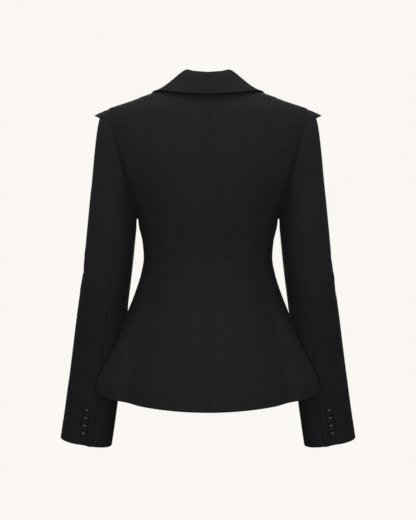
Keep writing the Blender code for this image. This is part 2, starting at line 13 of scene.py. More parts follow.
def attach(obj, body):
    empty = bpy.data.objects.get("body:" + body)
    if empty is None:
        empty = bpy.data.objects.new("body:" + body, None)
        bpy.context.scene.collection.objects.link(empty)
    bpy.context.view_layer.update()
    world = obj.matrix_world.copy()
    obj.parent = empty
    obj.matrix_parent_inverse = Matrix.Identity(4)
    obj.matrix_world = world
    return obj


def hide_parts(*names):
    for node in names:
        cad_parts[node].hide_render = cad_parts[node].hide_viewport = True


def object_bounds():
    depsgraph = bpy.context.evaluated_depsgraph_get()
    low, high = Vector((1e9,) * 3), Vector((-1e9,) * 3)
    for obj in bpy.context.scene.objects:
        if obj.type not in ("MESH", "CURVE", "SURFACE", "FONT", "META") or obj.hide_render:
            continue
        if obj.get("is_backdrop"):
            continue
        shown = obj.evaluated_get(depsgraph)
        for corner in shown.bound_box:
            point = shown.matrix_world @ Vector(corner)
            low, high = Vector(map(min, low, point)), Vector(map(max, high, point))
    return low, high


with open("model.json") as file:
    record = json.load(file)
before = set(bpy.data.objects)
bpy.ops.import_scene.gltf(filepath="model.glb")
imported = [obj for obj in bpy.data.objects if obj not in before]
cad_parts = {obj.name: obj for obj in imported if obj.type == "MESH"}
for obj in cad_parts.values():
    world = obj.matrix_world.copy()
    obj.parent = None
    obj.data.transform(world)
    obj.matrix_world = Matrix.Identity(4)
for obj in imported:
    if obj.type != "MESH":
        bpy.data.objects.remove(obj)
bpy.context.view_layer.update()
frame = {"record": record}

# Back panels
# Two halves of the back, cut from fine black suiting and sewn together down the centre back.
# A long waist dart shapes each half, and the hem is turned up and pressed.

NECK_X = 0.0760
NECK_Z = 0.0245
SHOULDER_SLOPE = 0.3583
SHOULDER_END_X = 0.1945
SHOULDER_END_Z = NECK_Z - SHOULDER_SLOPE * (SHOULDER_END_X - NECK_X)
CENTRE_NECK_Z = 0.0120
NECK_BEND = 0.7
YOKE_Z = -0.0600
UNDERARM_Z = -0.2330
HIP_Z = -0.3500
HEM_Z = -0.5690
HEM_DROP_BACK = 0.0270
HEM_DROP_FRONT = 0.0160
HEM_DROP_POWER = 1.7

# The worn form, section by section. Round is the power of the cosine that gives the depth.
Section = namedtuple("Section", "z half_width back_depth back_round front_depth front_round")
SECTIONS = (
    Section(NECK_Z, NECK_X, 0.0600, 1.00, 0.0600, 1.00),
    Section(0.0120, 0.1128, 0.0660, 1.00, 0.0680, 1.00),
    Section(0.0000, 0.1463, 0.0725, 0.94, 0.0750, 1.00),
    Section(SHOULDER_END_Z, SHOULDER_END_X, 0.0815, 0.82, 0.0845, 1.00),
    Section(-0.030, 0.2000, 0.0865, 0.73, 0.0900, 0.95),
    Section(-0.060, 0.1985, 0.0950, 0.65, 0.1000, 0.88),
    Section(-0.120, 0.1830, 0.1050, 0.69, 0.1150, 0.84),
    Section(-0.160, 0.1680, 0.1070, 0.78, 0.1238, 0.84),
    Section(-0.200, 0.1500, 0.1040, 0.87, 0.1275, 0.86),
    Section(UNDERARM_Z, 0.1362, 0.0990, 0.95, 0.1258, 0.89),
    Section(-0.246, 0.1346, 0.0970, 0.96, 0.1240, 0.90),
    Section(-0.277, 0.1275, 0.0905, 1.00, 0.1175, 0.95),
    Section(-0.308, 0.1252, 0.0860, 1.00, 0.1100, 1.00),
    Section(-0.339, 0.1305, 0.0880, 1.03, 0.1068, 1.15),
    Section(-0.371, 0.1404, 0.0945, 1.10, 0.1085, 1.40),
    Section(-0.4154, 0.1576, 0.1050, 1.22, 0.1150, 1.80),
    Section(-0.470, 0.1788, 0.1180, 1.36, 0.1220, 2.00),
    Section(-0.512, 0.1980, 0.1255, 1.46, 0.1270, 2.00),
    Section(-0.548, 0.2143, 0.1300, 1.53, 0.1305, 2.00),
    Section(HEM_Z, 0.2176, 0.1320, 1.57, 0.1320, 2.00),
)

# The shoulder princess seam: how far it lies from the centre back at each height.
PRINCESS_TOP_X = 0.1340
PRINCESS_TOP_Z = NECK_Z - SHOULDER_SLOPE * (PRINCESS_TOP_X - NECK_X)
SeamPoint = namedtuple("SeamPoint", "z x")
PRINCESS = (
    SeamPoint(PRINCESS_TOP_Z, PRINCESS_TOP_X),
    SeamPoint(-0.076, 0.1175),
    SeamPoint(-0.125, 0.1080),
    SeamPoint(-0.198, 0.0955),
    SeamPoint(-0.268, 0.0855),
    SeamPoint(-0.308, 0.0830),
    SeamPoint(-0.350, 0.0875),
    SeamPoint(-0.391, 0.0980),
    SeamPoint(-0.4255, 0.1100),
    SeamPoint(-0.469, 0.1230),
    SeamPoint(-0.524, 0.1350),
    SeamPoint(HEM_Z, 0.1415),
)

# The waist dart: how far it lies from the centre back seam, along the cloth.
DART = (
    SeamPoint(CENTRE_NECK_Z, 0.0440),
    SeamPoint(-0.246, 0.0445),
    SeamPoint(-0.312, 0.0405),
    SeamPoint(-0.376, 0.0402),
    SeamPoint(-0.448, 0.0457),
    SeamPoint(HEM_Z, 0.0540),
)
DART_TOP_Z = -0.2150
DART_TOP_RUN = 0.045
DART_FOOT_Z = -0.4600
DART_FOOT_RUN = 0.070

# Flutes: soft hollows of the skirt, just outside the princess seams, each with a soft ridge beside it.
FLUTE_DEPTH = 0.0155
FLUTE_OUT = 0.0130
FLUTE_WIDTH = 0.0165
FLUTE_START_Z = -0.300
FLUTE_FULL_Z = -0.430
FLUTE_SIDE_FADE = 2.0
FLARE_RISE = 0.0080
FLARE_OUT = 0.0550
FLARE_WIDTH = 0.0200
FLARE_START_Z = -0.380
FLARE_FULL_Z = -0.520

# Suiting, its seams and the fineness of the shells.
SUITING = 0.0015
HEM_TURN_START = 0.0342
HEM_TURN_END = 0.0378
HEM_TURN_RISE = 0.00018
HEM_TURN_CLOTH = 0.6
SEAM_DEPTH = 0.00050
SEAM_SOFT = 0.0014
TURNING_START = 0.0088
TURNING_END = 0.0121
TURNING_RISE = 0.00022
PUCKER = 0.00012
PUCKER_REACH = 0.0060
PUCKER_PITCH = 0.0085
PUCKER_DRIFT = 0.0530
PRESSED_FLAT = 0.80
FLAT_START_Z = -0.290
FLAT_FULL_Z = -0.380
ROW_STEP = 0.0040
COLUMN_STEP = 0.0045
BESIDE_SEAM = (0.0005, 0.0011, 0.0019, 0.0030, 0.0046, 0.0068, 0.0092, 0.0112, 0.0132)
BESIDE_SHARE = 0.45
PROBES = 61
RIM_STEPS = 3
TURN_STEP = 0.015
LEVEL_STEP = 0.002


def unit(vectors):
    """Vectors brought to length one."""
    vectors = np.asarray(vectors, dtype=float)
    return vectors / np.linalg.norm(vectors, axis=-1, keepdims=True)


def smooth_curve(places, values):
    """A curve through the values of a table that never swings past them."""
    order = np.argsort(places)
    at = np.asarray(places, dtype=float)[order]
    value = np.asarray(values, dtype=float)[order]
    gap = np.diff(at)
    slope = np.diff(value) / gap
    tangent = np.zeros_like(value)
    tangent[0], tangent[-1] = slope[0], slope[-1]
    for i in range(1, len(slope)):
        if slope[i - 1] * slope[i] > 0.0:
            tangent[i] = 2.0 * slope[i - 1] * slope[i] / (slope[i - 1] + slope[i])

    def curve(place):
        place = np.clip(place, at[0], at[-1])
        i = np.clip(np.searchsorted(at, place) - 1, 0, len(gap) - 1)
        t = (place - at[i]) / gap[i]
        rise = value[i] * (1 + 2 * t) * (1 - t) ** 2 + value[i + 1] * t * t * (3 - 2 * t)
        return rise + gap[i] * t * (1 - t) * (tangent[i] * (1 - t) - tangent[i + 1] * t)

    return curve


def column_curve(table, column):
    """The smooth curve of one column of a table, against the table's first column."""
    return smooth_curve([row[0] for row in table], [getattr(row, column) for row in table])


def ease(value, start, end):
    """0 at start, 1 at end, with a soft run between."""
    t = np.clip((value - start) / (end - start), 0.0, 1.0)
    return t * t * (3 - 2 * t)


half_width_below = column_curve(SECTIONS, "half_width")
back_depth = column_curve(SECTIONS, "back_depth")
back_round = column_curve(SECTIONS, "back_round")
front_depth = column_curve(SECTIONS, "front_depth")
front_round = column_curve(SECTIONS, "front_round")
princess_x = column_curve(PRINCESS, "x")
dart_x = column_curve(DART, "x")


def half_width(z):
    """Half the body's width: straight along the shoulder, then by the table."""
    shoulder = NECK_X + (NECK_Z - np.minimum(z, NECK_Z)) / SHOULDER_SLOPE
    return np.where(z > SHOULDER_END_Z, shoulder, half_width_below(z))


def form(turn, level):
    """The outer face of the body. Turn runs from centre back, through the right side, to the front."""
    turn, level = np.broadcast_arrays(np.asarray(turn, dtype=float), np.asarray(level, dtype=float))
    across = np.cos(turn)
    front = across < 0.0
    power = np.where(front, front_round(level), back_round(level))
    depth = np.where(front, front_depth(level), -back_depth(level)) * np.abs(across) ** power
    drop = np.where(front, HEM_DROP_FRONT, HEM_DROP_BACK) * np.abs(across) ** HEM_DROP_POWER
    drop = drop * ease(level, HIP_Z, HEM_Z)
    x = half_width(level) * np.sin(turn)
    from_flute = (np.abs(x) - princess_x(level) - FLUTE_OUT) / FLUTE_WIDTH
    flute = FLUTE_DEPTH * np.exp(-from_flute ** 2) * ease(level, FLUTE_START_Z, FLUTE_FULL_Z)
    from_flare = (np.abs(x) - princess_x(level) - FLARE_OUT) / FLARE_WIDTH
    flare = FLARE_RISE * np.exp(-from_flare ** 2) * ease(level, FLARE_START_Z, FLARE_FULL_Z)
    side_fade = np.minimum(1.0, FLUTE_SIDE_FADE * np.abs(across))
    depth = depth + np.where(front, 0.0, (flute - flare) * side_fade)
    return np.stack([x, depth, level - drop], axis=-1)


def face_normal(surface, turn, level):
    """The outward direction of a surface, the same on both sides of a seam."""
    along = surface(turn + TURN_STEP, level) - surface(turn - TURN_STEP, level)
    up = surface(turn, level + LEVEL_STEP) - surface(turn, level - LEVEL_STEP)
    return unit(np.cross(along, up))


def turn_at(x, level):
    """The turn, on the back, of the point of the form that lies x from the centre."""
    return np.arcsin(np.clip(x / half_width(level), -1.0, 1.0))


def princess_turn(level):
    """The turn of the princess seam, which runs into the shoulder seam at its top."""
    return np.where(level >= PRINCESS_TOP_Z, pi / 2, turn_at(princess_x(level), level))


def close_rows(stops, step):
    """Rows from the first stop to the last, through each stop, no further apart than a step."""
    runs = []
    for start, end in zip(stops, stops[1:]):
        count = int(np.ceil(abs(end - start) / step))
        runs.append(np.linspace(start, end, count, endpoint=False))
    return np.concatenate(runs + [stops[-1:]])


def run_length(points, axis):
    """How far each point of a grid lies along its row or column, from the start."""
    steps = np.linalg.norm(np.diff(points, axis=axis), axis=-1)
    start = np.zeros_like(np.take(steps, [0], axis=axis))
    return np.concatenate([start, np.cumsum(steps, axis=axis)], axis=axis)


def spaced_columns(stops):
    """Distances across each row: close together beside every stop, and even between them."""
    beside = np.array(BESIDE_SEAM)
    columns = [stops[:, :1]]
    for i in range(stops.shape[1] - 1):
        start = stops[:, i:i + 1]
        span = stops[:, i + 1:i + 2] - start
        near = beside * np.minimum(1.0, BESIDE_SHARE * span / beside[-1])
        count = max(1, int((span.max() - 2 * beside[-1]) / COLUMN_STEP))
        share = np.linspace(0.0, 1.0, count + 2)[1:-1]
        middle = near[:, -1:] + (span - 2 * near[:, -1:]) * share
        columns += [start + near, start + middle, start + span - near[:, ::-1], start + span]
    return np.concatenate(columns, axis=1)


Lattice = namedtuple("Lattice", "turn level point out from_first from_last along")


def lattice(surface, first_edge, last_edge, bend=1.0, dart=None):
    """The points of a panel on a surface, row by row, between two edges given as (turn, level)."""
    first_turn, first_level = (np.asarray(values, dtype=float)[:, None] for values in first_edge)
    last_turn, last_level = (np.asarray(values, dtype=float)[:, None] for values in last_edge)
    probes = np.linspace(0.0, 1.0, PROBES)
    turn = first_turn + (last_turn - first_turn) * probes
    level = first_level + (last_level - first_level) * probes ** bend
    travelled = run_length(surface(turn, level), axis=1)
    stops = [np.zeros_like(first_turn), travelled[:, -1:]]
    if dart is not None:
        stops.insert(1, dart[:, None])
    from_first = spaced_columns(np.concatenate(stops, axis=1))
    share = np.array([np.interp(row, run, probes) for row, run in zip(from_first, travelled)])
    turn = first_turn + (last_turn - first_turn) * share
    level = first_level + (last_level - first_level) * share ** bend
    point = surface(turn, level)
    middle = point.shape[1] // 2
    along = run_length(point[:, middle:middle + 1], axis=0)
    out = face_normal(surface, turn, level)
    return Lattice(turn, level, point, out, from_first, travelled[:, -1:] - from_first, along)


def seam_relief(distance, along, strength=1.0):
    """A pressed seam: a narrow groove, faint puckers, and the turnings that lie under the cloth."""
    groove = -SEAM_DEPTH * np.exp(-(distance / SEAM_SOFT) ** 2)
    drift = np.sin(2 * pi * along / PUCKER_DRIFT)
    pucker = PUCKER * np.sin(2 * pi * along / PUCKER_PITCH + 3 * drift) * np.exp(-distance / PUCKER_REACH)
    pucker = pucker * ease(distance, 0.0, 2 * SEAM_SOFT)
    turning = TURNING_RISE * (1.0 - ease(distance, TURNING_START, TURNING_END))
    return strength * (groove + pucker + turning)


Crease = namedtuple("Crease", "x z to_x to_z height width")
CREASE_BOW = 0.10
CREASE_RISEN = 0.45
CREASE_FALLS = 0.55


def crease_relief(x, z, creases):
    """Soft ridges, or troughs where the height is below zero, that die away at their ends."""
    relief = np.zeros(np.broadcast(x, z).shape)
    for crease in creases:
        run_x, run_z = crease.to_x - crease.x, crease.to_z - crease.z
        length = np.hypot(run_x, run_z)
        share = ((x - crease.x) * run_x + (z - crease.z) * run_z) / length ** 2
        across = ((x - crease.x) * run_z - (z - crease.z) * run_x) / length
        bow = CREASE_BOW * length * np.sin(pi * np.clip(share, 0.0, 1.0))
        ends = ease(share, 0.0, CREASE_RISEN) * (1.0 - ease(share, CREASE_FALLS, 1.0))
        relief = relief + crease.height * ends * np.exp(-((across - bow) / crease.width) ** 2)
    return relief


def mirrored(grid):
    """A grid of the right side turned into one of the left."""
    return grid * np.array([-1.0, 1.0, 1.0])


GRID_EDGES = {
    "top": (np.s_[0], np.s_[1]),
    "bottom": (np.s_[-1], np.s_[-2]),
    "first": (np.s_[:, 0], np.s_[:, 1]),
    "last": (np.s_[:, -1], np.s_[:, -2]),
}


def add_shell(name, outer, inner, cloth_place, seam, free):
    """One closed shell of cloth between two grids of points, rounded over at its free edges."""
    rows, columns = outer.shape[:2]
    away = np.zeros_like(outer)
    for edge in free:
        at, beside = GRID_EDGES[edge]
        away[at] += unit(outer[at] - outer[beside])
    away /= np.maximum(np.linalg.norm(away, axis=-1, keepdims=True), 1.0)
    index = np.arange(rows * columns).reshape(rows, columns)
    rim = np.concatenate([index[0], index[1:, -1], index[-1, -2::-1], index[-2:0:-1, 0]])
    middle = ((outer + inner) / 2).reshape(-1, 3)[rim]
    half = ((outer - inner) / 2).reshape(-1, 3)[rim]
    reach = away.reshape(-1, 3)[rim] * np.linalg.norm(half, axis=-1, keepdims=True)
    angles = [pi * k / (RIM_STEPS + 1) for k in range(1, RIM_STEPS + 1)]
    rounds = [middle + half * cos(angle) + reach * sin(angle) for angle in angles]
    points = np.concatenate([outer.reshape(-1, 3), inner.reshape(-1, 3)] + rounds)

    size = rows * columns
    quads = [index[:-1, :-1], index[:-1, 1:], index[1:, 1:], index[1:, :-1]]
    quads = np.stack(quads, axis=-1).reshape(-1, 4)
    lines = [rim]
    lines += [2 * size + k * len(rim) + np.arange(len(rim)) for k in range(RIM_STEPS)]
    lines += [rim + size]
    faces = [quads, quads[:, ::-1] + size]
    for line, below in zip(lines, lines[1:]):
        faces.append(np.stack([np.roll(line, -1), line, below, np.roll(below, -1)], axis=-1))
    faces = np.concatenate(faces)
    corners = points[faces]
    volume = np.einsum("ij,ij->i", corners[:, 0], np.cross(corners[:, 1], corners[:, 2])).sum()
    volume += np.einsum("ij,ij->i", corners[:, 0], np.cross(corners[:, 2], corners[:, 3])).sum()
    if volume < 0.0:
        faces = faces[:, ::-1]

    mesh = bpy.data.meshes.new(name)
    mesh.from_pydata(points.tolist(), [], faces.tolist())
    source = np.concatenate([np.arange(size), np.arange(size)] + [rim] * RIM_STEPS)
    corner_points = faces.reshape(-1)
    place = cloth_place.reshape(-1, 2)[source][corner_points]
    mesh.uv_layers.new(name="cloth").data.foreach_set("uv", place.astype(np.float32).ravel())
    # The seam attribute carries the mask of the shade painted along the seams.
    seam_shade = mesh.attributes.new("seam", "FLOAT", "POINT")
    seam_shade.data.foreach_set("value", seam.reshape(-1)[source].astype(np.float32))
    mesh.shade_smooth()
    piece = bpy.data.objects.new(name, mesh)
    bpy.context.scene.collection.objects.link(piece)
    return piece


def maths(tree, operation, *values):
    """A Math node fed with numbers or other nodes' outputs. Returns its output."""
    node = tree.nodes.new("ShaderNodeMath")
    node.operation = operation
    for socket, value in zip(node.inputs, values):
        if isinstance(value, bpy.types.NodeSocket):
            tree.links.new(value, socket)
        else:
            socket.default_value = value
    return node.outputs[0]


def noise(tree, place, scale, stretch, detail=2.0):
    """A Noise texture on a stretched place. Returns its value, from 0 to 1."""
    mapping = tree.nodes.new("ShaderNodeMapping")
    mapping.inputs["Scale"].default_value = stretch
    tree.links.new(place, mapping.inputs["Vector"])
    node = tree.nodes.new("ShaderNodeTexNoise")
    node.inputs["Scale"].default_value = scale
    node.inputs["Detail"].default_value = detail
    tree.links.new(mapping.outputs["Vector"], node.inputs["Vector"])
    return node.outputs["Fac"]


def mix_colours(tree, factor, first, last):
    """A Mix node that runs from one colour to another, and past it, with a factor. Returns its output."""
    node = tree.nodes.new("ShaderNodeMix")
    node.data_type = "RGBA"
    node.clamp_factor = False
    node.inputs["A"].default_value = first
    node.inputs["B"].default_value = last
    tree.links.new(factor, node.inputs["Factor"])
    return node.outputs["Result"]


def new_finish(name):
    """A new material, with its tree of nodes and its shader."""
    material = bpy.data.materials.new(name)
    material.use_nodes = True
    tree = material.node_tree
    return material, tree, tree.nodes["Principled BSDF"]


def slot_colour(slot):
    """The colour that the record gives a material slot."""
    materials = frame["record"]["materials"]
    return next(material["base_color"] for material in materials if material["slot"] == slot)


YARN_GRAIN = (900.0, 70.0, 1.0)
CROSS_YARN_GRAIN = (60.0, 800.0, 1.0)
RIB_RISE = 0.30
THREAD_RISE = 0.15


def make_weave():
    """The weave of a cloth: the height of its twill ribs and the uneven tone of its yarns."""
    group = bpy.data.node_groups.new("twill_weave", "ShaderNodeTree")
    group.interface.new_socket("Place", in_out="INPUT", socket_type="NodeSocketVector")
    group.interface.new_socket("Ribs", in_out="INPUT", socket_type="NodeSocketFloat")
    group.interface.new_socket("Height", in_out="OUTPUT", socket_type="NodeSocketFloat")
    group.interface.new_socket("Tone", in_out="OUTPUT", socket_type="NodeSocketFloat")
    entry = group.nodes.new("NodeGroupInput")
    leave = group.nodes.new("NodeGroupOutput")
    split = group.nodes.new("ShaderNodeSeparateXYZ")
    group.links.new(entry.outputs["Place"], split.inputs["Vector"])
    turns = maths(group, "MULTIPLY", entry.outputs["Ribs"], 2 * pi)
    slant = maths(group, "ADD", split.outputs["X"], split.outputs["Y"])
    rib = maths(group, "SINE", maths(group, "MULTIPLY", slant, turns))
    thread = maths(group, "SINE", maths(group, "MULTIPLY", split.outputs["X"], turns))
    yarn = noise(group, entry.outputs["Place"], 1.0, YARN_GRAIN)
    cross_yarn = noise(group, entry.outputs["Place"], 1.0, CROSS_YARN_GRAIN)
    uneven = maths(group, "ADD", yarn, cross_yarn)
    height = maths(group, "MULTIPLY_ADD", rib, RIB_RISE, maths(group, "MULTIPLY", thread, THREAD_RISE))
    group.links.new(maths(group, "ADD", height, uneven), leave.inputs["Height"])
    group.links.new(maths(group, "MULTIPLY", uneven, 0.5), leave.inputs["Tone"])
    return group


SUITING_BLACK = slot_colour("cloth")
SUITING_RIBS = 1500.0
SUITING_WEAVE_HEIGHT = 0.00012
SUITING_WEAVE_STRENGTH = 0.5
SUITING_MOTTLE_GRAIN = (26.0, 17.0, 1.0)
SUITING_LEAST_TONE = 0.40
SUITING_YARN_TONE = 0.60
SUITING_MOTTLE_TONE = 0.45
# Painted shade: how much darker the colour is drawn along the seam grooves.
SUITING_SEAM_SHADE = -0.19
SUITING_ROUGH = 0.74
SUITING_MOTTLE_ROUGH = 0.12
SUITING_SEAM_ROUGH = -0.03
SUITING_SHEEN = (0.70, 0.70, 0.74, 1.0)


def make_suiting():
    """Matte black wool suiting: fine twill, slightly uneven yarns, and painted shade along the seam
    grooves.
    """
    material, tree, shader = new_finish("black_suiting")
    place = tree.nodes.new("ShaderNodeUVMap")
    place.uv_map = "cloth"
    weave = tree.nodes.new("ShaderNodeGroup")
    weave.node_tree = make_weave()
    weave.inputs["Ribs"].default_value = SUITING_RIBS
    tree.links.new(place.outputs["UV"], weave.inputs["Place"])
    seam = tree.nodes.new("ShaderNodeAttribute")
    seam.attribute_name = "seam"

    mottle = noise(tree, place.outputs["UV"], 1.0, SUITING_MOTTLE_GRAIN, detail=3.0)
    tone = maths(tree, "MULTIPLY_ADD", weave.outputs["Tone"], SUITING_YARN_TONE, SUITING_LEAST_TONE)
    tone = maths(tree, "MULTIPLY_ADD", mottle, SUITING_MOTTLE_TONE, tone)
    # Painted shade: the seam attribute darkens the colour in the seam grooves.
    tone = maths(tree, "MULTIPLY_ADD", seam.outputs["Fac"], SUITING_SEAM_SHADE, tone)
    colour = mix_colours(tree, tone, (0.0, 0.0, 0.0, 1.0), (*SUITING_BLACK, 1.0))
    tree.links.new(colour, shader.inputs["Base Color"])

    rough = maths(tree, "MULTIPLY_ADD", mottle, SUITING_MOTTLE_ROUGH, SUITING_ROUGH)
    rough = maths(tree, "MULTIPLY_ADD", seam.outputs["Fac"], SUITING_SEAM_ROUGH, rough)
    tree.links.new(rough, shader.inputs["Roughness"])
    bump = tree.nodes.new("ShaderNodeBump")
    bump.inputs["Strength"].default_value = SUITING_WEAVE_STRENGTH
    bump.inputs["Distance"].default_value = SUITING_WEAVE_HEIGHT
    tree.links.new(weave.outputs["Height"], bump.inputs["Height"])
    tree.links.new(bump.outputs["Normal"], shader.inputs["Normal"])
    shader.inputs["Specular IOR Level"].default_value = 0.25
    shader.inputs["Sheen Weight"].default_value = 0.04
    shader.inputs["Sheen Roughness"].default_value = 0.45
    shader.inputs["Sheen Tint"].default_value = SUITING_SHEEN
    return material


suiting = make_suiting()


def dress(piece, node):
    """Give a cloth piece its finish and its place, and hide the solid that it dresses."""
    piece.data.materials.append(suiting)
    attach(piece, "root")
    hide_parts(node)


def sew_panel(node, net, relief, seam, side, free):
    """A body panel or sleeve: its lattice raised by the relief, walled, turned to its side and dressed."""
    below = net.along[-1] - net.along
    turn_up = 1.0 - ease(below, HEM_TURN_START, HEM_TURN_END)
    outer = net.point + net.out * (relief + HEM_TURN_RISE * turn_up)[..., None]
    inner = net.point + net.out * (relief - SUITING * (1.0 + HEM_TURN_CLOTH * turn_up))[..., None]
    cloth_place = np.stack([net.from_first, np.broadcast_to(net.along, net.from_first.shape)], axis=-1)
    if side == "left":
        outer, inner = mirrored(outer), mirrored(inner)
    piece = add_shell(f"cloth_{node}_{side}", outer, inner, cloth_place, seam, free)
    dress(piece, f"{node}_{side}")


def seam_shade_mark(distance):
    """1 on a seam, fading to 0 beside it: the mask of the shade painted into the seam groove, which also
    makes the cloth a touch less rough there.
    """
    return np.exp(-(distance / SEAM_SOFT) ** 2)


BACK_CREASES = {
    "right": (
        Crease(0.012, -0.300, 0.070, -0.306, -0.0009, 0.0075),
        Crease(0.020, -0.324, 0.078, -0.334, 0.0007, 0.0080),
        Crease(0.076, -0.285, 0.030, -0.276, -0.0006, 0.0070),
        Crease(0.104, -0.055, 0.086, -0.170, 0.0010, 0.0120),
        Crease(0.060, -0.420, 0.090, -0.540, -0.0009, 0.0140),
        Crease(0.022, -0.450, 0.028, -0.560, 0.0008, 0.0160),
    ),
    "left": (
        Crease(0.010, -0.306, 0.074, -0.312, -0.0008, 0.0080),
        Crease(0.030, -0.282, 0.080, -0.274, 0.0007, 0.0070),
        Crease(0.066, -0.330, 0.018, -0.338, -0.0006, 0.0085),
        Crease(0.110, -0.050, 0.088, -0.160, 0.0009, 0.0110),
        Crease(0.070, -0.430, 0.082, -0.550, -0.0010, 0.0150),
        Crease(0.014, -0.470, 0.020, -0.575, 0.0007, 0.0150),
    ),
}

back_levels = close_rows(np.array([NECK_Z, PRINCESS_TOP_Z, YOKE_Z, UNDERARM_Z, HEM_Z]), ROW_STEP)
centre_levels = np.interp(back_levels, (YOKE_Z, NECK_Z), (YOKE_Z, CENTRE_NECK_Z))
centre_levels = np.where(back_levels < YOKE_Z, back_levels, centre_levels)
back_net = lattice(
    form,
    (np.zeros_like(centre_levels), centre_levels),
    (princess_turn(back_levels), back_levels),
    bend=NECK_BEND,
    dart=dart_x(centre_levels),
)
from_dart = np.abs(back_net.from_first - dart_x(centre_levels)[:, None])
dart_run = ease(back_net.level, DART_TOP_Z, DART_TOP_Z - DART_TOP_RUN)
dart_run = dart_run * ease(back_net.level, DART_FOOT_Z, DART_FOOT_Z + DART_FOOT_RUN)
pressed_flat = 1.0 - PRESSED_FLAT * ease(back_net.level, FLAT_START_Z, FLAT_FULL_Z)
back_seams = seam_relief(back_net.from_first, back_net.along)
back_seams = back_seams + seam_relief(back_net.from_last, back_net.along, pressed_flat)
back_seams = back_seams + seam_relief(from_dart, back_net.along, dart_run)
# Painted shade along the centre back seam, the princess seam and the dart.
back_seam_shade = np.maximum(seam_shade_mark(back_net.from_first), seam_shade_mark(back_net.from_last) * pressed_flat)
back_seam_shade = np.maximum(back_seam_shade, seam_shade_mark(from_dart) * dart_run)
for side, creases in BACK_CREASES.items():
    relief = back_seams + crease_relief(back_net.point[..., 0], back_net.point[..., 2], creases)
    sew_panel("back", back_net, relief, back_seam_shade, side, ("top", "bottom"))

# Side back panels
# The pieces between the princess seams and the armholes and side seams, cut from the same suiting.
# They flare out below the waist, so that the skirt stands off the hips.

ARMHOLE_LEAN = 0.2720
ARMHOLE_BOW = 0.0030
NECKLINE_Z = -0.0115
FULL_Z = -0.1600
BREAK_Z = -0.2850
HEAD_FLAT_START_Z = -0.110
HEAD_FLAT_FULL_Z = -0.050
SIDE_BACK_CREASES = {
    "right": (
        Crease(0.090, -0.296, 0.124, -0.284, -0.0010, 0.0070),
        Crease(0.088, -0.318, 0.126, -0.312, 0.0009, 0.0075),
        Crease(0.092, -0.338, 0.128, -0.338, -0.0007, 0.0075),
        Crease(0.150, -0.070, 0.124, -0.180, 0.0012, 0.0100),
        Crease(0.168, -0.400, 0.176, -0.530, 0.0010, 0.0130),
    ),
    "left": (
        Crease(0.088, -0.290, 0.122, -0.276, -0.0009, 0.0070),
        Crease(0.090, -0.312, 0.124, -0.306, -0.0008, 0.0075),
        Crease(0.092, -0.334, 0.130, -0.330, 0.0009, 0.0080),
        Crease(0.156, -0.060, 0.128, -0.170, 0.0011, 0.0100),
        Crease(0.160, -0.410, 0.182, -0.540, 0.0010, 0.0140),
    ),
}


def armhole_x(z):
    """How far the armhole seam lies from the centre."""
    below = z - SHOULDER_END_Z
    share = np.clip(below / (UNDERARM_Z - SHOULDER_END_Z), 0.0, 1.0)
    return SHOULDER_END_X + ARMHOLE_LEAN * below - ARMHOLE_BOW * np.sin(pi * share)


panel_stops = np.array([PRINCESS_TOP_Z, NECKLINE_Z, YOKE_Z, FULL_Z, UNDERARM_Z, BREAK_Z, HEM_Z])
panel_levels = close_rows(panel_stops, ROW_STEP)
armhole_levels = np.interp(panel_levels, (UNDERARM_Z, PRINCESS_TOP_Z), (UNDERARM_Z, SHOULDER_END_Z))
side_levels = np.where(panel_levels <= UNDERARM_Z, panel_levels, armhole_levels)
in_armhole = (panel_levels > UNDERARM_Z) & (panel_levels < PRINCESS_TOP_Z)
side_turn = np.where(in_armhole, turn_at(armhole_x(side_levels), side_levels), pi / 2)

side_net = lattice(form, (princess_turn(panel_levels), panel_levels), (side_turn, side_levels))
pressed_flat = 1.0 - PRESSED_FLAT * ease(side_net.level, FLAT_START_Z, FLAT_FULL_Z)
pressed_head = 1.0 - PRESSED_FLAT * ease(side_net.level, HEAD_FLAT_START_Z, HEAD_FLAT_FULL_Z)
side_seams = seam_relief(side_net.from_first, side_net.along, pressed_flat)
side_seams = side_seams + seam_relief(side_net.from_last, side_net.along, pressed_head)
# Painted shade along the princess seam and the armhole seam.
side_seam_shade = seam_shade_mark(side_net.from_first) * pressed_flat
side_seam_shade = np.maximum(side_seam_shade, seam_shade_mark(side_net.from_last) * pressed_head)
for side, creases in SIDE_BACK_CREASES.items():
    relief = side_seams + crease_relief(side_net.point[..., 0], side_net.point[..., 2], creases)
    rests_on = [f"back_{side}", f"front_{side}"]
    sew_panel("side_back", side_net, relief, side_seam_shade, side, ("bottom",))

# Fronts
# One panel of the suiting to each side, sewn to the back at the side seam, the right one lapped over the
# left. The front edge is folded back along the roll line above the button, and hangs straight below it.

LAP_X = 0.0200
LAP_LIFT = 0.0062
LAP_FADE_X = 0.0700
LAP_FADE_LOW_Z = -0.2150
LAP_FADE_HIGH_Z = -0.1500
ROLL_TOP_X = 0.0705
ROLL_TOP_Z = 0.0080
FRONT_CREASES = {
    "right": (
        Crease(0.016, -0.300, 0.090, -0.286, 0.0013, 0.0075),
        Crease(0.018, -0.312, 0.100, -0.318, -0.0012, 0.0080),
        Crease(0.014, -0.318, 0.070, -0.350, 0.0010, 0.0080),
        Crease(0.060, -0.262, 0.118, -0.250, -0.0009, 0.0085),
        Crease(0.150, -0.080, 0.118, -0.190, 0.0014, 0.0110),
        Crease(0.055, -0.400, 0.070, -0.560, 0.0022, 0.0160),
        Crease(0.120, -0.380, 0.150, -0.560, -0.0020, 0.0160),
    ),
    "left": (
        Crease(0.022, -0.298, 0.084, -0.280, 0.0011, 0.0075),
        Crease(0.020, -0.310, 0.108, -0.308, -0.0013, 0.0080),
        Crease(0.024, -0.324, 0.080, -0.344, 0.0009, 0.0085),
        Crease(0.066, -0.258, 0.114, -0.242, -0.0010, 0.0085),
        Crease(0.146, -0.075, 0.114, -0.180, 0.0013, 0.0110),
        Crease(0.064, -0.410, 0.084, -0.565, 0.0020, 0.0170),
        Crease(0.128, -0.390, 0.162, -0.555, -0.0021, 0.0150),
    ),
}


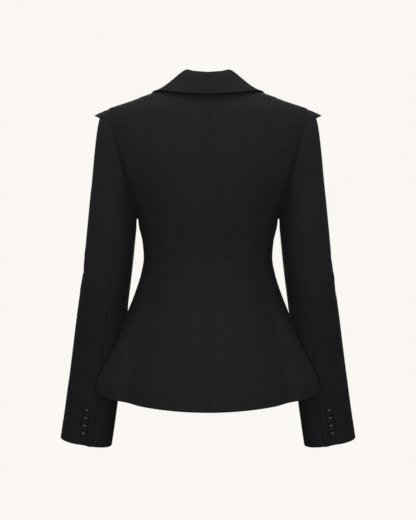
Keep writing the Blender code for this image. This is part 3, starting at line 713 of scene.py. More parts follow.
def lapped_form(turn, level):
    """The body form, raised near the centre front where the right front lies over the left."""
    point = form(turn, level)
    near_centre = 1.0 - ease(point[..., 0], LAP_X, LAP_FADE_X)
    below_break = 1.0 - ease(level, LAP_FADE_LOW_Z, LAP_FADE_HIGH_Z)
    point[..., 1] += LAP_LIFT * near_centre * below_break * (np.cos(turn) < 0.0)
    return point


def front_edge_x(level):
    """The free edge of the right front: neckline, then roll line, then the lapped front edge."""
    neck = np.interp(level, (ROLL_TOP_Z, NECK_Z), (ROLL_TOP_X, NECK_X))
    roll = np.interp(level, (BREAK_Z, ROLL_TOP_Z), (-LAP_X, ROLL_TOP_X))
    return np.where(level > ROLL_TOP_Z, neck, roll)


edge_stops = (HEM_Z, FULL_Z, NECKLINE_Z, PRINCESS_TOP_Z), (HEM_Z, FULL_Z, ROLL_TOP_Z, NECK_Z)
edge_levels = np.interp(panel_levels, *edge_stops)
edge_turn = pi - turn_at(front_edge_x(edge_levels), edge_levels)
for side, creases in FRONT_CREASES.items():
    surface = lapped_form if side == "right" else form
    net = lattice(surface, (pi - side_turn, side_levels), (edge_turn, edge_levels))
    relief = seam_relief(net.from_first, net.along)
    relief = relief + crease_relief(net.point[..., 0], net.point[..., 2], creases)
    # Painted shade along the side seam and the armhole.
    seam_shade = seam_shade_mark(net.from_first)
    rests_on = [f"back_{side}", f"side_back_{side}"]
    sew_panel("front", net, relief, seam_shade, side, ("bottom", "last"))

# Lapels
# The upper front edges, faced with the same suiting and folded back along the roll line.
# They roll softly round the edge of the fronts and lie on them, cut to a notch under the collar.

LAPEL_TIP_X = 0.1280
LAPEL_TIP_Z = -0.0450
LAPEL_FOOT = 0.0060
LAPEL_BELLY = 0.0100
LAPEL_LIFT = 0.0029
LAPEL_PUFF = 0.0011
LAPEL_PUFF_AT = 0.0080
LAPEL_PUFF_WIDTH = 0.0090
LAPEL_PUFF_FULL = 0.12
LAPEL_FACE_TURN = pi - 0.6
ROLL_RADIUS = 0.0026
ROLL_FOOT = 0.4
ROLL_FULL = 0.15
ROLL_SETTLE = 0.006
ROLL_TUCK = 0.0110
ROLL_TUCK_STEPS = 4
ROLL_TURNS = 9
LAPEL_ROWS = 90
LAPEL_COLUMNS = 26
LAPEL_CROWD = 1.4
FOLD_ROOM = 0.5
FOLD_SPREAD = 3
STRAIGHT = 1e-12
LOOSE_EDGES = ("top", "bottom", "last")


def grid_normals(grid):
    """Directions square to a grid of points."""
    return unit(np.cross(np.gradient(grid, axis=1), np.gradient(grid, axis=0)))


def inner_face(outer, cloth, facing=1.0):
    """The inner face of a folded piece, thinned where the fold is too tight for the cloth."""
    before, after = outer[:, 1:-1] - outer[:, :-2], outer[:, 2:] - outer[:, 1:-1]
    chord = np.linalg.norm(outer[:, 2:] - outer[:, :-2], axis=-1)
    turned = np.linalg.norm(np.cross(before, after), axis=-1)
    legs = np.linalg.norm(before, axis=-1) * np.linalg.norm(after, axis=-1)
    radius = np.full(outer.shape[:2], np.inf)
    radius[:, 1:-1] = legs * chord / np.maximum(2 * turned, STRAIGHT)
    for _ in range(FOLD_SPREAD):
        beside = np.minimum(radius[:, :-1], radius[:, 1:])
        radius[:, :-1] = np.minimum(radius[:, :-1], beside)
        radius[:, 1:] = np.minimum(radius[:, 1:], beside)
    room = np.minimum(cloth, FOLD_ROOM * radius)
    return outer - facing * room[..., None] * grid_normals(outer)


def sew_loose(node, outer, inner, cloth_place, held, rests_on):
    """A lapel, collar or point: walled between its two grids, with three loose edges, and dressed."""
    no_seam = np.zeros(outer.shape[:2])
    piece = add_shell(f"cloth_{node}", outer, inner, cloth_place, no_seam, LOOSE_EDGES)
    dress(piece, node)


def lapel_grid(surface):
    """The right side of a lapel: from behind the front's edge, round the roll, out to its own edge."""
    rise = np.linspace(0.0, 1.0, LAPEL_ROWS + 1)[:, None]
    roll_z = BREAK_Z + (ROLL_TOP_Z - BREAK_Z) * rise
    edge_z = BREAK_Z + (LAPEL_TIP_Z - BREAK_Z) * rise
    roll_x = front_edge_x(roll_z)
    foot_x = LAPEL_FOOT - LAP_X
    edge_x = foot_x + (LAPEL_TIP_X - foot_x) * rise + LAPEL_BELLY * np.sin(pi * rise)
    width = np.hypot(edge_x - roll_x, edge_z - roll_z)
    grow = ROLL_FOOT + (1.0 - ROLL_FOOT) * ease(rise, 0.0, ROLL_FULL)

    tuck = np.linspace(1.0, 0.0, ROLL_TUCK_STEPS, endpoint=False)
    turns = np.linspace(-pi / 2, pi / 2, ROLL_TURNS)
    shares = np.linspace(0.0, 1.0, LAPEL_COLUMNS + 1)[1:] ** LAPEL_CROWD
    behind = -SUITING / 2 - ROLL_RADIUS
    over = width * shares
    puff = LAPEL_PUFF * np.exp(-((over - LAPEL_PUFF_AT) / LAPEL_PUFF_WIDTH) ** 2)
    rolled = ROLL_RADIUS - SUITING / 2
    settle = rolled + (LAPEL_LIFT - rolled) * ease(over, 0.0, ROLL_SETTLE)
    distance = [grow * ROLL_TUCK * tuck, -grow * ROLL_RADIUS * np.cos(turns), over]
    lift = [
        np.full_like(distance[0], behind),
        np.broadcast_to(-SUITING / 2 + ROLL_RADIUS * np.sin(turns), distance[1].shape),
        settle + puff * ease(rise, 0.0, LAPEL_PUFF_FULL),
    ]
    share = np.concatenate(distance, axis=1) / width
    level = roll_z + (edge_z - roll_z) * share
    turn = pi - turn_at(roll_x + (edge_x - roll_x) * share, level)
    lift = np.concatenate(lift, axis=1)[..., None]
    return surface(turn, level) + face_normal(surface, turn, level) * lift


for side in ("right", "left"):
    outer = lapel_grid(lapped_form if side == "right" else form)
    normal = grid_normals(outer)
    facing = np.sign((normal[-1, -1] * face_normal(form, LAPEL_FACE_TURN, LAPEL_TIP_Z)).sum())
    inner = inner_face(outer, SUITING, facing)
    across, along = run_length(outer, axis=1), run_length(outer, axis=0)
    cloth_place = np.stack([across, along], axis=-1)
    if side == "left":
        outer, inner = mirrored(outer), mirrored(inner)
    sew_loose(f"lapel_{side}", outer, inner, cloth_place, "folded", [f"front_{side}"])

# Collar
# One piece of suiting, sewn to the neckline, that stands up round the neck and folds down over itself.
# Its outer edge springs off the back, and its front ends meet the lapels along the gorge seams.

COLLAR_CLOTH = 0.0017
NOTCH_X = 0.0965
NOTCH_Z = -0.0160
Station = namedtuple("Station", "at fold_x fold_y fold_z edge_turn edge_z edge_lift sag")
STATIONS = (
    Station(0.00, 0.0000, -0.0575, 0.0480, 0.0, 0.0010, 0.0080, 0.000),
    Station(0.25, 0.0262, -0.0508, 0.0508, 22.0, 0.0035, 0.0075, 0.001),
    Station(0.50, 0.0407, -0.0360, 0.0552, 45.0, 0.0090, 0.0060, 0.003),
    Station(0.75, 0.0490, -0.0190, 0.0500, 72.0, 0.0130, 0.0034, 0.008),
    Station(1.00, 0.0520, 0.0000, 0.0465, 90.0, 0.0135, 0.0029, 0.009),
    Station(1.35, 0.0570, 0.0240, 0.0385, 110.0, 0.0085, 0.0042, 0.006),
    Station(1.70, 0.0650, 0.0425, 0.0265, 125.0, 0.0005, 0.0040, 0.002),
    Station(2.00, 0.0680, 0.0550, 0.0170, 135.0, -0.0075, 0.0036, 0.000),
)
COLLAR_STATIONS = 64
STAND_SHARES = np.linspace(0.0, 1.0, 13)[:-1]
FALL_SHARES = np.linspace(0.0, 1.0, 31)
FOLD_ROLL = 0.20
FOLD_ROLL_LEAST = 0.0045
STAND_RISE = 0.25
FALL_HANG = 0.40
GORGE_SHARE = 0.5
END_BLEND = 1.78
COLLAR_SEAT = 0.0026
station_curves = {name: column_curve(STATIONS, name) for name in Station._fields[1:]}


def bezier(p0, p1, p2, p3, t):
    """A point on a cubic curve."""
    return (1 - t) ** 3 * p0 + 3 * t * (1 - t) ** 2 * p1 + 3 * t * t * (1 - t) * p2 + t ** 3 * p3


def neckline(at):
    """Turn and height of the neck seam at a collar station."""
    if at <= 1.0:
        return at * pi / 2, CENTRE_NECK_Z + (NECK_Z - CENTRE_NECK_Z) * at ** NECK_BEND
    level = NECK_Z + (ROLL_TOP_Z - NECK_Z) * (at - 1.0) ** 2
    return pi - float(turn_at(front_edge_x(level), level)), level


def collar_section(at):
    """One section of the collar: up the stand from the neck seam, over the fold and down the fall."""
    turn, level = neckline(at)
    seam = form(turn, level)
    up = unit(seam - form(turn, level - LEVEL_STEP))
    outward = unit(seam * (1.0, 1.0, 0.0))
    foot = seam - COLLAR_SEAT * face_normal(form, turn, level)
    value = {name: float(curve(at)) for name, curve in station_curves.items()}
    fold = np.array([value["fold_x"], value["fold_y"], value["fold_z"]])
    edge_turn = radians(value["edge_turn"])
    edge = form(edge_turn, value["edge_z"])
    edge = edge + value["edge_lift"] * face_normal(form, edge_turn, value["edge_z"])
    height = np.linalg.norm(fold - foot)
    roll = outward * max(FOLD_ROLL * height, FOLD_ROLL_LEAST)
    hang = edge + FALL_HANG * (fold - edge) - (0.0, 0.0, value["sag"])
    stand = bezier(foot, foot + STAND_RISE * height * up, fold - roll, fold, STAND_SHARES[:, None])
    return np.concatenate([stand, bezier(fold, fold + roll, hang, edge, FALL_SHARES[:, None])])


def gorge_line(fold, corner):
    """The front end of the fall: down the gorge seam to the notch, then out to the corner."""
    down = np.minimum(1.0, FALL_SHARES / GORGE_SHARE)[:, None]
    z = ROLL_TOP_Z + (NOTCH_Z - ROLL_TOP_Z) * down
    turn = pi - turn_at(ROLL_TOP_X + (NOTCH_X - ROLL_TOP_X) * down, z)
    gorge = (form(turn, z) + STATIONS[-1].edge_lift * face_normal(form, turn, z))[:, 0]
    past = np.clip((FALL_SHARES - GORGE_SHARE) / (1.0 - GORGE_SHARE), 0.0, 1.0)[:, None]
    return gorge + (fold - gorge[0]) * (1.0 - down) ** 2 + (corner - gorge) * past


stations = np.linspace(0.0, STATIONS[-1].at, COLLAR_STATIONS + 1)
half_collar = np.array([collar_section(at) for at in stations])
fall_start = len(STAND_SHARES)
gorge_end = gorge_line(half_collar[-1, fall_start], half_collar[-1, -1])
to_gorge = ease(stations, END_BLEND, STATIONS[-1].at)[:, None, None]
half_collar[:, fall_start:] += to_gorge * (gorge_end - half_collar[-1, fall_start:])
outer = np.concatenate([mirrored(half_collar[:0:-1]), half_collar])
inner = inner_face(outer, COLLAR_CLOTH)
across, along = run_length(outer, axis=1), run_length(outer, axis=0)
cloth_place = np.stack([along - along[-1:] / 2, across], axis=-1)
rests_on = ["back_left", "back_right", "front_left", "front_right"]
sew_loose("collar", outer, inner, cloth_place, "folded", rests_on)

# Sleeves
# Two-piece sleeves of suiting: a wide upper and a narrow under half, sewn along a front and a back seam.
# The cap is eased into the armhole, and the back seam opens in a vent above the cuff.

BICEP_Z = -0.2460
CUFF_Z = -0.6740
CAP_REACH = 0.0240
CAP_REACH_UNDER = 0.12
CAP_LEAVE = (0.95, 0.0, -0.31)
CAP_FULL_UNDER = 0.45
CAP_FULL_TOP = 0.97
CAP_TUCK = 0.0024
UNDERARM_CLOSE = 0.20
BACK_SLEEVE_SEAM = radians(-101.5)
FRONT_SLEEVE_SEAM = radians(130.0)
RING_STEP = 0.020
SLEEVE_SQUARE = 0.88
Ring = namedtuple("Ring", "z x y half_width half_depth")
RINGS = (
    Ring(-0.2000, 0.1825, 0.002, 0.0478, 0.0565),
    Ring(BICEP_Z, 0.1872, 0.004, 0.0478, 0.056),
    Ring(-0.3300, 0.1958, 0.008, 0.0477, 0.053),
    Ring(-0.4154, 0.2080, 0.026, 0.0487, 0.047),
    Ring(-0.5000, 0.2190, 0.048, 0.0500, 0.040),
    Ring(-0.5960, 0.2320, 0.072, 0.0515, 0.035),
    Ring(CUFF_Z, 0.2445, 0.092, 0.0518, 0.031),
    Ring(-0.7000, 0.2490, 0.0985, 0.0518, 0.031),
)
ARMHOLE_TURNING = 0.09
SLEEVE_STOPS = (ARMHOLE_TURNING, 0.0, -0.1, -1.0, -2.0)
SLEEVE_ROW = 0.0095
TURNING_RATE = 0.072
TURNING_TUCK = 0.0060
TUCKED_UNDER = SUITING + 0.0004
ARMHOLE_SINK = 0.0042
ARMHOLE_SINK_WIDTH = 0.0075
ARMHOLE_HOLLOW = 0.0036
ARMHOLE_HOLLOW_WIDTH = 0.0260

# How the armhole seam sinks on its way from the shoulder, -1, to the underarm, 1.
HEAD_SINK = 0.10
HEAD_END = -0.75
HEAD_CLEAR = -0.15
UNDERARM_SINK = 0.25
UNDERARM_START = -0.7
UNDERARM_FULL = 0.7

# The vent: how far down the sleeve it starts, in levels, and the lap of its two edges.
VENT_TOP = 1.80
VENT_RUN = 0.05
VENT_RISE = 0.0011
VENT_SINK = 0.0007
VENT_EDGE = 0.0042
VENT_WIDTH = 0.0140
ring_x = column_curve(RINGS, "x")
ring_y = column_curve(RINGS, "y")
ring_half_width = column_curve(RINGS, "half_width")
ring_half_depth = column_curve(RINGS, "half_depth")


def sleeve_ring(angle, z):
    """Points of the sleeve below the underarm, and the way the sleeve runs there."""
    above, below = z + RING_STEP, z - RING_STEP
    run = [ring_x(below) - ring_x(above), ring_y(below) - ring_y(above), below - above]
    axis = unit(np.stack(run, axis=-1))
    outward = unit(np.array([1.0, 0.0, 0.0]) - axis[..., :1] * axis)
    forward = np.cross(outward, axis)
    across, along = np.cos(angle), np.sin(angle)
    wide = (ring_half_width(z) * np.sign(across) * np.abs(across) ** SLEEVE_SQUARE)[..., None]
    deep = (ring_half_depth(z) * np.sign(along) * np.abs(along) ** SLEEVE_SQUARE)[..., None]
    return np.stack([ring_x(z), ring_y(z), z], axis=-1) + outward * wide + forward * deep, axis


def armhole_seam(angle):
    """Points of the armhole seam. Angle 0 is the shoulder, a quarter turn the front."""
    middle = (SHOULDER_END_Z + UNDERARM_Z) / 2
    z = middle + (SHOULDER_END_Z - middle) * np.cos(angle)
    turn = turn_at(armhole_x(z), z)
    y = form(np.where(np.sin(angle) > 0.0, pi - turn, turn), z)[..., 1]
    y = y * np.minimum(1.0, np.abs(np.sin(angle)) / UNDERARM_CLOSE)
    z = z - CAP_TUCK * np.maximum(0.0, np.cos(angle)) ** 2
    return np.stack([armhole_x(z), y, z], axis=-1)


def armhole_inward(angle):
    """The way from the armhole seam into the body, along the body's own face."""
    along = armhole_seam(angle + TURN_STEP) - armhole_seam(angle - TURN_STEP)
    z = armhole_seam(angle)[..., 2]
    turn = turn_at(armhole_x(z), z)
    out = face_normal(form, np.where(np.sin(angle) > 0.0, pi - turn, turn), z)
    return unit(np.cross(out, along))


def sleeve_form(angle, level):
    """The outer face of the sleeve: level 0 to -1 is the cap, -1 to -2 the arm down to the cuff.

    Above level 0 lies the turning, which runs on behind the edge of the body panels.
    """
    angle, level = np.broadcast_arrays(np.asarray(angle, dtype=float), np.asarray(level, dtype=float))
    ring = sleeve_ring(angle, BICEP_Z + (CUFF_Z - BICEP_Z) * np.maximum(-level - 1.0, 0.0))[0]
    bicep, axis = sleeve_ring(angle, np.full_like(angle, BICEP_Z))
    seam = armhole_seam(angle)
    top = np.cos(angle / 2) ** 2
    reach = CAP_REACH * (CAP_REACH_UNDER + (1.0 - CAP_REACH_UNDER) * top)
    full = np.linalg.norm(bicep - seam, axis=-1) * (CAP_FULL_UNDER + (CAP_FULL_TOP - CAP_FULL_UNDER) * top)
    leave = unit(CAP_LEAVE) * reach[..., None]
    arrive = bicep - axis * full[..., None]
    cap = bezier(seam, seam + leave, arrive, bicep, np.clip(-level, 0.0, 1.0)[..., None])
    cap = cap + armhole_inward(angle) * TURNING_RATE * np.maximum(level, 0.0)[..., None]
    return np.where((level <= -1.0)[..., None], ring, cap)


SLEEVE_CREASES = {
    ("upper_sleeve", "right"): (
        Crease(0.020, -0.300, 0.110, -0.286, -0.0013, 0.0080),
        Crease(0.015, -0.330, 0.120, -0.322, 0.0012, 0.0090),
        Crease(0.030, -0.356, 0.110, -0.362, -0.0010, 0.0080),
        Crease(0.030, -0.060, 0.036, -0.200, 0.0011, 0.0120),
        Crease(0.060, -0.420, 0.076, -0.560, -0.0010, 0.0140),
        Crease(0.118, -0.110, 0.090, -0.180, -0.0011, 0.0100),
        Crease(0.042, -0.480, 0.038, -0.680, -0.0024, 0.0120),
    ),
    ("upper_sleeve", "left"): (
        Crease(0.018, -0.292, 0.100, -0.276, 0.0011, 0.0080),
        Crease(0.022, -0.318, 0.124, -0.312, -0.0013, 0.0085),
        Crease(0.026, -0.350, 0.104, -0.352, 0.0010, 0.0085),
        Crease(0.034, -0.070, 0.030, -0.190, 0.0010, 0.0130),
        Crease(0.064, -0.430, 0.086, -0.570, -0.0011, 0.0150),
        Crease(0.122, -0.100, 0.096, -0.175, -0.0010, 0.0100),
        Crease(0.044, -0.470, 0.036, -0.680, -0.0022, 0.0125),
    ),
    ("under_sleeve", "right"): (
        Crease(0.010, -0.200, 0.075, -0.186, -0.0014, 0.0080),
        Crease(0.008, -0.226, 0.080, -0.222, 0.0012, 0.0085),
        Crease(0.015, -0.252, 0.070, -0.256, -0.0010, 0.0080),
    ),
    ("under_sleeve", "left"): (
        Crease(0.008, -0.192, 0.070, -0.176, 0.0012, 0.0080),
        Crease(0.012, -0.216, 0.082, -0.210, -0.0014, 0.0085),
        Crease(0.010, -0.246, 0.066, -0.252, 0.0010, 0.0090),
    ),
}
SLEEVE_HALVES = {
    "upper_sleeve": (BACK_SLEEVE_SEAM, FRONT_SLEEVE_SEAM),
    "under_sleeve": (FRONT_SLEEVE_SEAM, BACK_SLEEVE_SEAM + 2 * pi),
}
sleeve_levels = close_rows(np.array(SLEEVE_STOPS), SLEEVE_ROW)
armhole_row = int(np.argmin(np.abs(sleeve_levels)))
for half, (first_seam, last_seam) in SLEEVE_HALVES.items():
    edges = [(np.full_like(sleeve_levels, seam), sleeve_levels) for seam in (first_seam, last_seam)]
    net = lattice(sleeve_form, *edges)
    vent = ease(-net.level, VENT_TOP, VENT_TOP + VENT_RUN)
    seams = seam_relief(net.from_first, net.along) + seam_relief(net.from_last, net.along)
    if half == "upper_sleeve":
        lap = 1.0 - ease(net.from_first, VENT_EDGE, VENT_WIDTH)
        seams = seams + vent * (VENT_RISE + SEAM_DEPTH) * lap
    else:
        lap = 1.0 - ease(net.from_last, 0.0, VENT_WIDTH)
        seams = seams - vent * VENT_SINK * lap
    from_top = run_length(net.point, axis=0)
    from_top = from_top - from_top[armhole_row]
    down = -np.cos(net.turn)
    low = ease(down, UNDERARM_START, UNDERARM_FULL)
    below_head = HEAD_SINK + (1.0 - HEAD_SINK) * ease(down, HEAD_END, HEAD_CLEAR)
    beside = np.maximum(np.abs(np.sin(net.turn)) * below_head, UNDERARM_SINK * low)
    sink = ARMHOLE_SINK * beside * (1.0 - ease(from_top, 0.0, ARMHOLE_SINK_WIDTH))
    sink = sink + ARMHOLE_HOLLOW * beside * low * (1.0 - ease(from_top, 0.0, ARMHOLE_HOLLOW_WIDTH))
    turned_in = np.clip(-from_top / TURNING_TUCK, 0.0, 1.0)
    seams = seams - sink * (1.0 - turned_in) - TUCKED_UNDER * turned_in
    # Painted shade along the front and back sleeve seams.
    seam_shade = np.maximum(seam_shade_mark(net.from_first), seam_shade_mark(net.from_last))
    for side in ("right", "left"):
        relief = seams + crease_relief(net.from_first, -from_top, SLEEVE_CREASES[half, side])
        sew_panel(half, net, relief, seam_shade, side, ("bottom",))

# Shoulder points
# Small pointed flanges of doubled suiting, caught in the top of each armhole seam.
# They lie on the sleeve head, taper to a thin edge and spring off it only at their tips.

POINT_SPREAD = radians(52.0)
POINT_LENGTH = 0.0296
POINT_END_SHARE = 0.06
POINT_CLOTH = 0.0015
POINT_EDGE_CLOTH = 0.0005
POINT_FALL = radians(24.8)
POINT_FREE = radians(11.0)
POINT_BLUNT = radians(2.5)
POINT_LIFT = 0.0003
POINT_SPRING = 0.0017
POINT_TAPER = 1.25
POINT_COLUMNS = 72
POINT_ROWS = 16
POINT_PROBES = 80
POINT_TRAVEL = 0.6
POINT_FREE_SHARE = 0.7

angles = np.linspace(-POINT_SPREAD, POINT_SPREAD, POINT_COLUMNS + 1)
from_tip = np.maximum(0.0, np.abs(angles) - POINT_BLUNT) / (POINT_SPREAD - POINT_BLUNT)
length = POINT_LENGTH * np.maximum(POINT_END_SHARE, (1.0 - from_tip) ** POINT_TAPER)
travel = np.linspace(0.0, POINT_TRAVEL, POINT_PROBES)
probe_run = run_length(sleeve_form(angles[:, None], -travel), axis=1)
shares = np.linspace(0.0, 1.0, POINT_ROWS + 1)
levels = -np.array([np.interp(reach * shares, run, travel) for reach, run in zip(length, probe_run)])
lying = sleeve_form(angles[:, None], levels)
lying_out = face_normal(sleeve_form, np.broadcast_to(angles[:, None], levels.shape), levels - LEVEL_STEP)
point_fall = np.array([cos(POINT_FALL), 0.0, -sin(POINT_FALL)])
root = sleeve_form(angles, 0.0)[:, None]
standing = root + point_fall * (length[:, None] * shares)[..., None]
free = (np.exp(-(angles / POINT_FREE) ** 2)[:, None] * ease(shares, 0.0, POINT_FREE_SHARE))[..., None]
out = unit(lying_out * (1.0 - free) + lying_out[:, :1] * free)
inner = lying * (1.0 - free) + standing * free + (POINT_LIFT + POINT_SPRING * free) * out
thick = POINT_CLOTH + (POINT_EDGE_CLOTH - POINT_CLOTH) * shares ** 2
outer = inner + out * thick[None, :, None]
across, along = run_length(outer, axis=1), run_length(outer, axis=0)
cloth_place = np.stack([across, along], axis=-1)
for side in ("right", "left"):
    grids = (outer, inner) if side == "right" else (mirrored(outer), mirrored(inner))
    sew_loose(f"shoulder_point_{side}", *grids, cloth_place, "hung", [f"upper_sleeve_{side}"])

# Buttons
# Buttons turned from black plastic, with a dished face, a rounded rim and four holes, sewn on with thread.
# Four small ones close each cuff vent, and a larger one closes the front at the waist.

CUFF_BUTTON_RADIUS = 0.0064
CUFF_BUTTON_ANGLE = radians(-85.0)
CUFF_BUTTON_TOP_Z = -0.5960
CUFF_BUTTON_STEP = 0.0161
CUFF_BUTTON_SEAT = 0.0010
Twists = namedtuple("Twists", "right left")
CUFF_TWISTS = (Twists(0.3, 0.9), Twists(1.1, 0.2), Twists(1.9, -0.5), Twists(2.7, -1.2))
FRONT_BUTTON_RADIUS = 0.0100
FRONT_BUTTON_Z = -0.3010
FRONT_BUTTON_SEAT = 0.0016
FRONT_BUTTON_TWIST = 0.2

# The button, its holes and its thread. Lengths are parts of the button's radius.
BUTTON_SIDES = 48
BUTTON_HEIGHT = 0.40
BUTTON_RIM = 0.20
BUTTON_DISH = 0.17
BUTTON_FLOOR = 0.22
BUTTON_BEVEL = 0.09
BUTTON_EDGE_ANGLE = 0.2
BUTTON_SMOOTH_ANGLE = radians(35.0)
HOLE_RADIUS = 0.10
HOLE_PLACE = 0.21
HOLE_SIDES = 16
HOLE_CUT = 2.0
THREAD_RADIUS = 0.055
THREAD_SIDES = 10
THREAD_LIFT = 0.01
THREAD_BEND_OUT = 0.03
THREAD_BEND_DOWN = 0.05
THREAD_END = 0.08
SHANK_RADIUS = 0.34
SHANK_HEIGHT = 0.24
SHANK_Z = -0.125
SHANK_SIDES = 16
SHANK_BEVEL = 0.05
FACING = 0.9
NO_STEP = 1e-5

# The plastic and the thread.
BUTTON_BLACK = slot_colour("button")
BUTTON_CLOUD = 260.0
BUTTON_DARK = 0.50
BUTTON_PALE = 1.50
BUTTON_ROUGH = 0.26
BUTTON_CLOUD_ROUGH = 0.10
THREAD_TWIST = 3000.0
THREAD_DARK = (0.006, 0.006, 0.007, 1.0)
THREAD_PALE = (0.030, 0.030, 0.032, 1.0)


def make_button_finish():
    """Satin black plastic with a faintly cloudy depth."""
    material, tree, shader = new_finish("button_black")
    place = tree.nodes.new("ShaderNodeTexCoord")
    cloud = noise(tree, place.outputs["Object"], BUTTON_CLOUD, (1.0, 1.0, 1.0), detail=3.0)
    dark = (*(BUTTON_DARK * value for value in BUTTON_BLACK), 1.0)
    pale = (*(BUTTON_PALE * value for value in BUTTON_BLACK), 1.0)
    tree.links.new(mix_colours(tree, cloud, dark, pale), shader.inputs["Base Color"])
    rough = maths(tree, "MULTIPLY_ADD", cloud, BUTTON_CLOUD_ROUGH, BUTTON_ROUGH)
    tree.links.new(rough, shader.inputs["Roughness"])
    shader.inputs["Specular IOR Level"].default_value = 0.7
    return material


def make_thread():
    """Black sewing thread, its tone uneven with its twist."""
    material, tree, shader = new_finish("black_thread")
    place = tree.nodes.new("ShaderNodeTexCoord")
    twist = noise(tree, place.outputs["Object"], THREAD_TWIST, (1.0, 1.0, 1.0))
    tree.links.new(mix_colours(tree, twist, THREAD_DARK, THREAD_PALE), shader.inputs["Base Color"])
    shader.inputs["Roughness"].default_value = 0.55
    return material


def add_cylinder(sides, radius, height, place=(0.0, 0.0, 0.0)):
    """A new cylinder, the only thing selected."""
    bpy.ops.mesh.primitive_cylinder_add(vertices=sides, radius=radius, depth=height, location=place)
    return bpy.context.active_object


def join(pieces):
    """Join pieces into the first of them."""
    bpy.ops.object.select_all(action="DESELECT")
    for piece in pieces:
        piece.select_set(True)
    bpy.context.view_layer.objects.active = pieces[0]
    bpy.ops.object.join()


def select_where(mesh_object, test):
    """Select, in edit mode, the faces whose middle and direction pass a test, and nothing else."""
    bpy.ops.mesh.select_all(action="DESELECT")
    edit = bmesh.from_edit_mesh(mesh_object.data)
    for face in edit.faces:
        face.select_set(test(face.calc_center_median(), face.normal))
    bmesh.update_edit_mesh(mesh_object.data)


def model_button():
    """A button of radius 1, lying on its back at the origin with its face up."""
    button = add_cylinder(BUTTON_SIDES, 1.0, BUTTON_HEIGHT, (0.0, 0.0, BUTTON_HEIGHT / 2))
    bpy.ops.object.transform_apply(location=True, rotation=True, scale=True)
    bpy.ops.object.mode_set(mode="EDIT")
    bpy.ops.mesh.select_mode(type="FACE")
    select_where(button, lambda middle, normal: normal.z > FACING)
    bpy.ops.mesh.inset(thickness=BUTTON_RIM)
    bpy.ops.mesh.inset(thickness=BUTTON_FLOOR)
    bpy.ops.transform.translate(value=(0.0, 0.0, -BUTTON_DISH))
    bpy.ops.mesh.inset(thickness=BUTTON_RIM)
    select_where(button, lambda middle, normal: normal.z < -FACING)
    bpy.ops.mesh.inset(thickness=BUTTON_RIM / 2)
    bpy.ops.mesh.select_all(action="DESELECT")
    bpy.ops.mesh.select_mode(type="EDGE")
    edit = bmesh.from_edit_mesh(button.data)
    for edge in edit.edges:
        flat = abs(edge.verts[0].co.z - edge.verts[1].co.z) < NO_STEP
        rounds = abs(edge.verts[0].co.xy.length - edge.verts[1].co.xy.length) < NO_STEP
        edge.select_set(flat and rounds and edge.calc_face_angle(0.0) > BUTTON_EDGE_ANGLE)
    bmesh.update_edit_mesh(button.data)
    bpy.ops.mesh.bevel(offset=BUTTON_BEVEL, segments=3, affect="EDGES")
    bpy.ops.object.mode_set(mode="OBJECT")
    cutters = []
    for x in (-HOLE_PLACE, HOLE_PLACE):
        for y in (-HOLE_PLACE, HOLE_PLACE):
            cutters.append(add_cylinder(HOLE_SIDES, HOLE_RADIUS, HOLE_CUT, (x, y, 0.0)))
    for cutter in cutters:
        cut = button.modifiers.new("hole", "BOOLEAN")
        cut.object = cutter
        cut.operation = "DIFFERENCE"
        bpy.context.view_layer.objects.active = button
        bpy.ops.object.modifier_apply(modifier=cut.name)
        bpy.data.objects.remove(cutter)
    return button


def model_stitches():
    """The thread of one button of radius 1: two bars across its holes and a short shank under it."""
    floor = BUTTON_HEIGHT - BUTTON_DISH
    bars = []
    for y in (-HOLE_PLACE, HOLE_PLACE):
        bar = add_cylinder(THREAD_SIDES, THREAD_RADIUS, 2 * HOLE_PLACE)
        bar.rotation_euler = (0.0, pi / 2, 0.0)
        bar.location = (0.0, y, floor + THREAD_RADIUS + THREAD_LIFT)
        bpy.ops.object.transform_apply(location=True, rotation=True, scale=True)
        bpy.ops.object.mode_set(mode="EDIT")
        bpy.ops.mesh.select_mode(type="FACE")
        for end in (-1.0, 1.0):
            select_where(bar, lambda middle, normal: normal.x * end > FACING)
            over_edge = (THREAD_BEND_OUT * end, 0.0, -THREAD_BEND_DOWN)
            down_hole = (0.0, 0.0, THREAD_END - floor)
            bpy.ops.mesh.extrude_region_move(TRANSFORM_OT_translate={"value": over_edge})
            bpy.ops.mesh.extrude_region_move(TRANSFORM_OT_translate={"value": down_hole})
        bpy.ops.object.mode_set(mode="OBJECT")
        bars.append(bar)
    shank = add_cylinder(SHANK_SIDES, SHANK_RADIUS, SHANK_HEIGHT, (0.0, 0.0, SHANK_Z))
    bpy.ops.object.mode_set(mode="EDIT")
    bpy.ops.mesh.bevel(offset=SHANK_BEVEL, segments=2, affect="EDGES")
    bpy.ops.object.mode_set(mode="OBJECT")
    join([shank] + bars)
    bpy.ops.object.transform_apply(location=True, rotation=True, scale=True)
    return shank


button_pattern = model_button()
button_pattern.data.materials.append(make_button_finish())
stitches = model_stitches()
stitches.data.materials.append(make_thread())
join([button_pattern, stitches])
bpy.ops.object.shade_smooth_by_angle(angle=BUTTON_SMOOTH_ANGLE)


def sew_button(node, radius, seat, out, twist):
    """Copy the button to its seat, face outwards."""
    piece = bpy.data.objects.new(f"sewn_{node}", button_pattern.data.copy())
    turned = Vector(out).to_track_quat("Z", "Y").to_matrix().to_4x4()
    spun = Matrix.Rotation(twist, 4, "Z")
    piece.data.transform(Matrix.Translation(Vector(seat)) @ turned @ spun @ Matrix.Scale(radius, 4))
    bpy.context.scene.collection.objects.link(piece)
    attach(piece, "root")
    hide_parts(node)


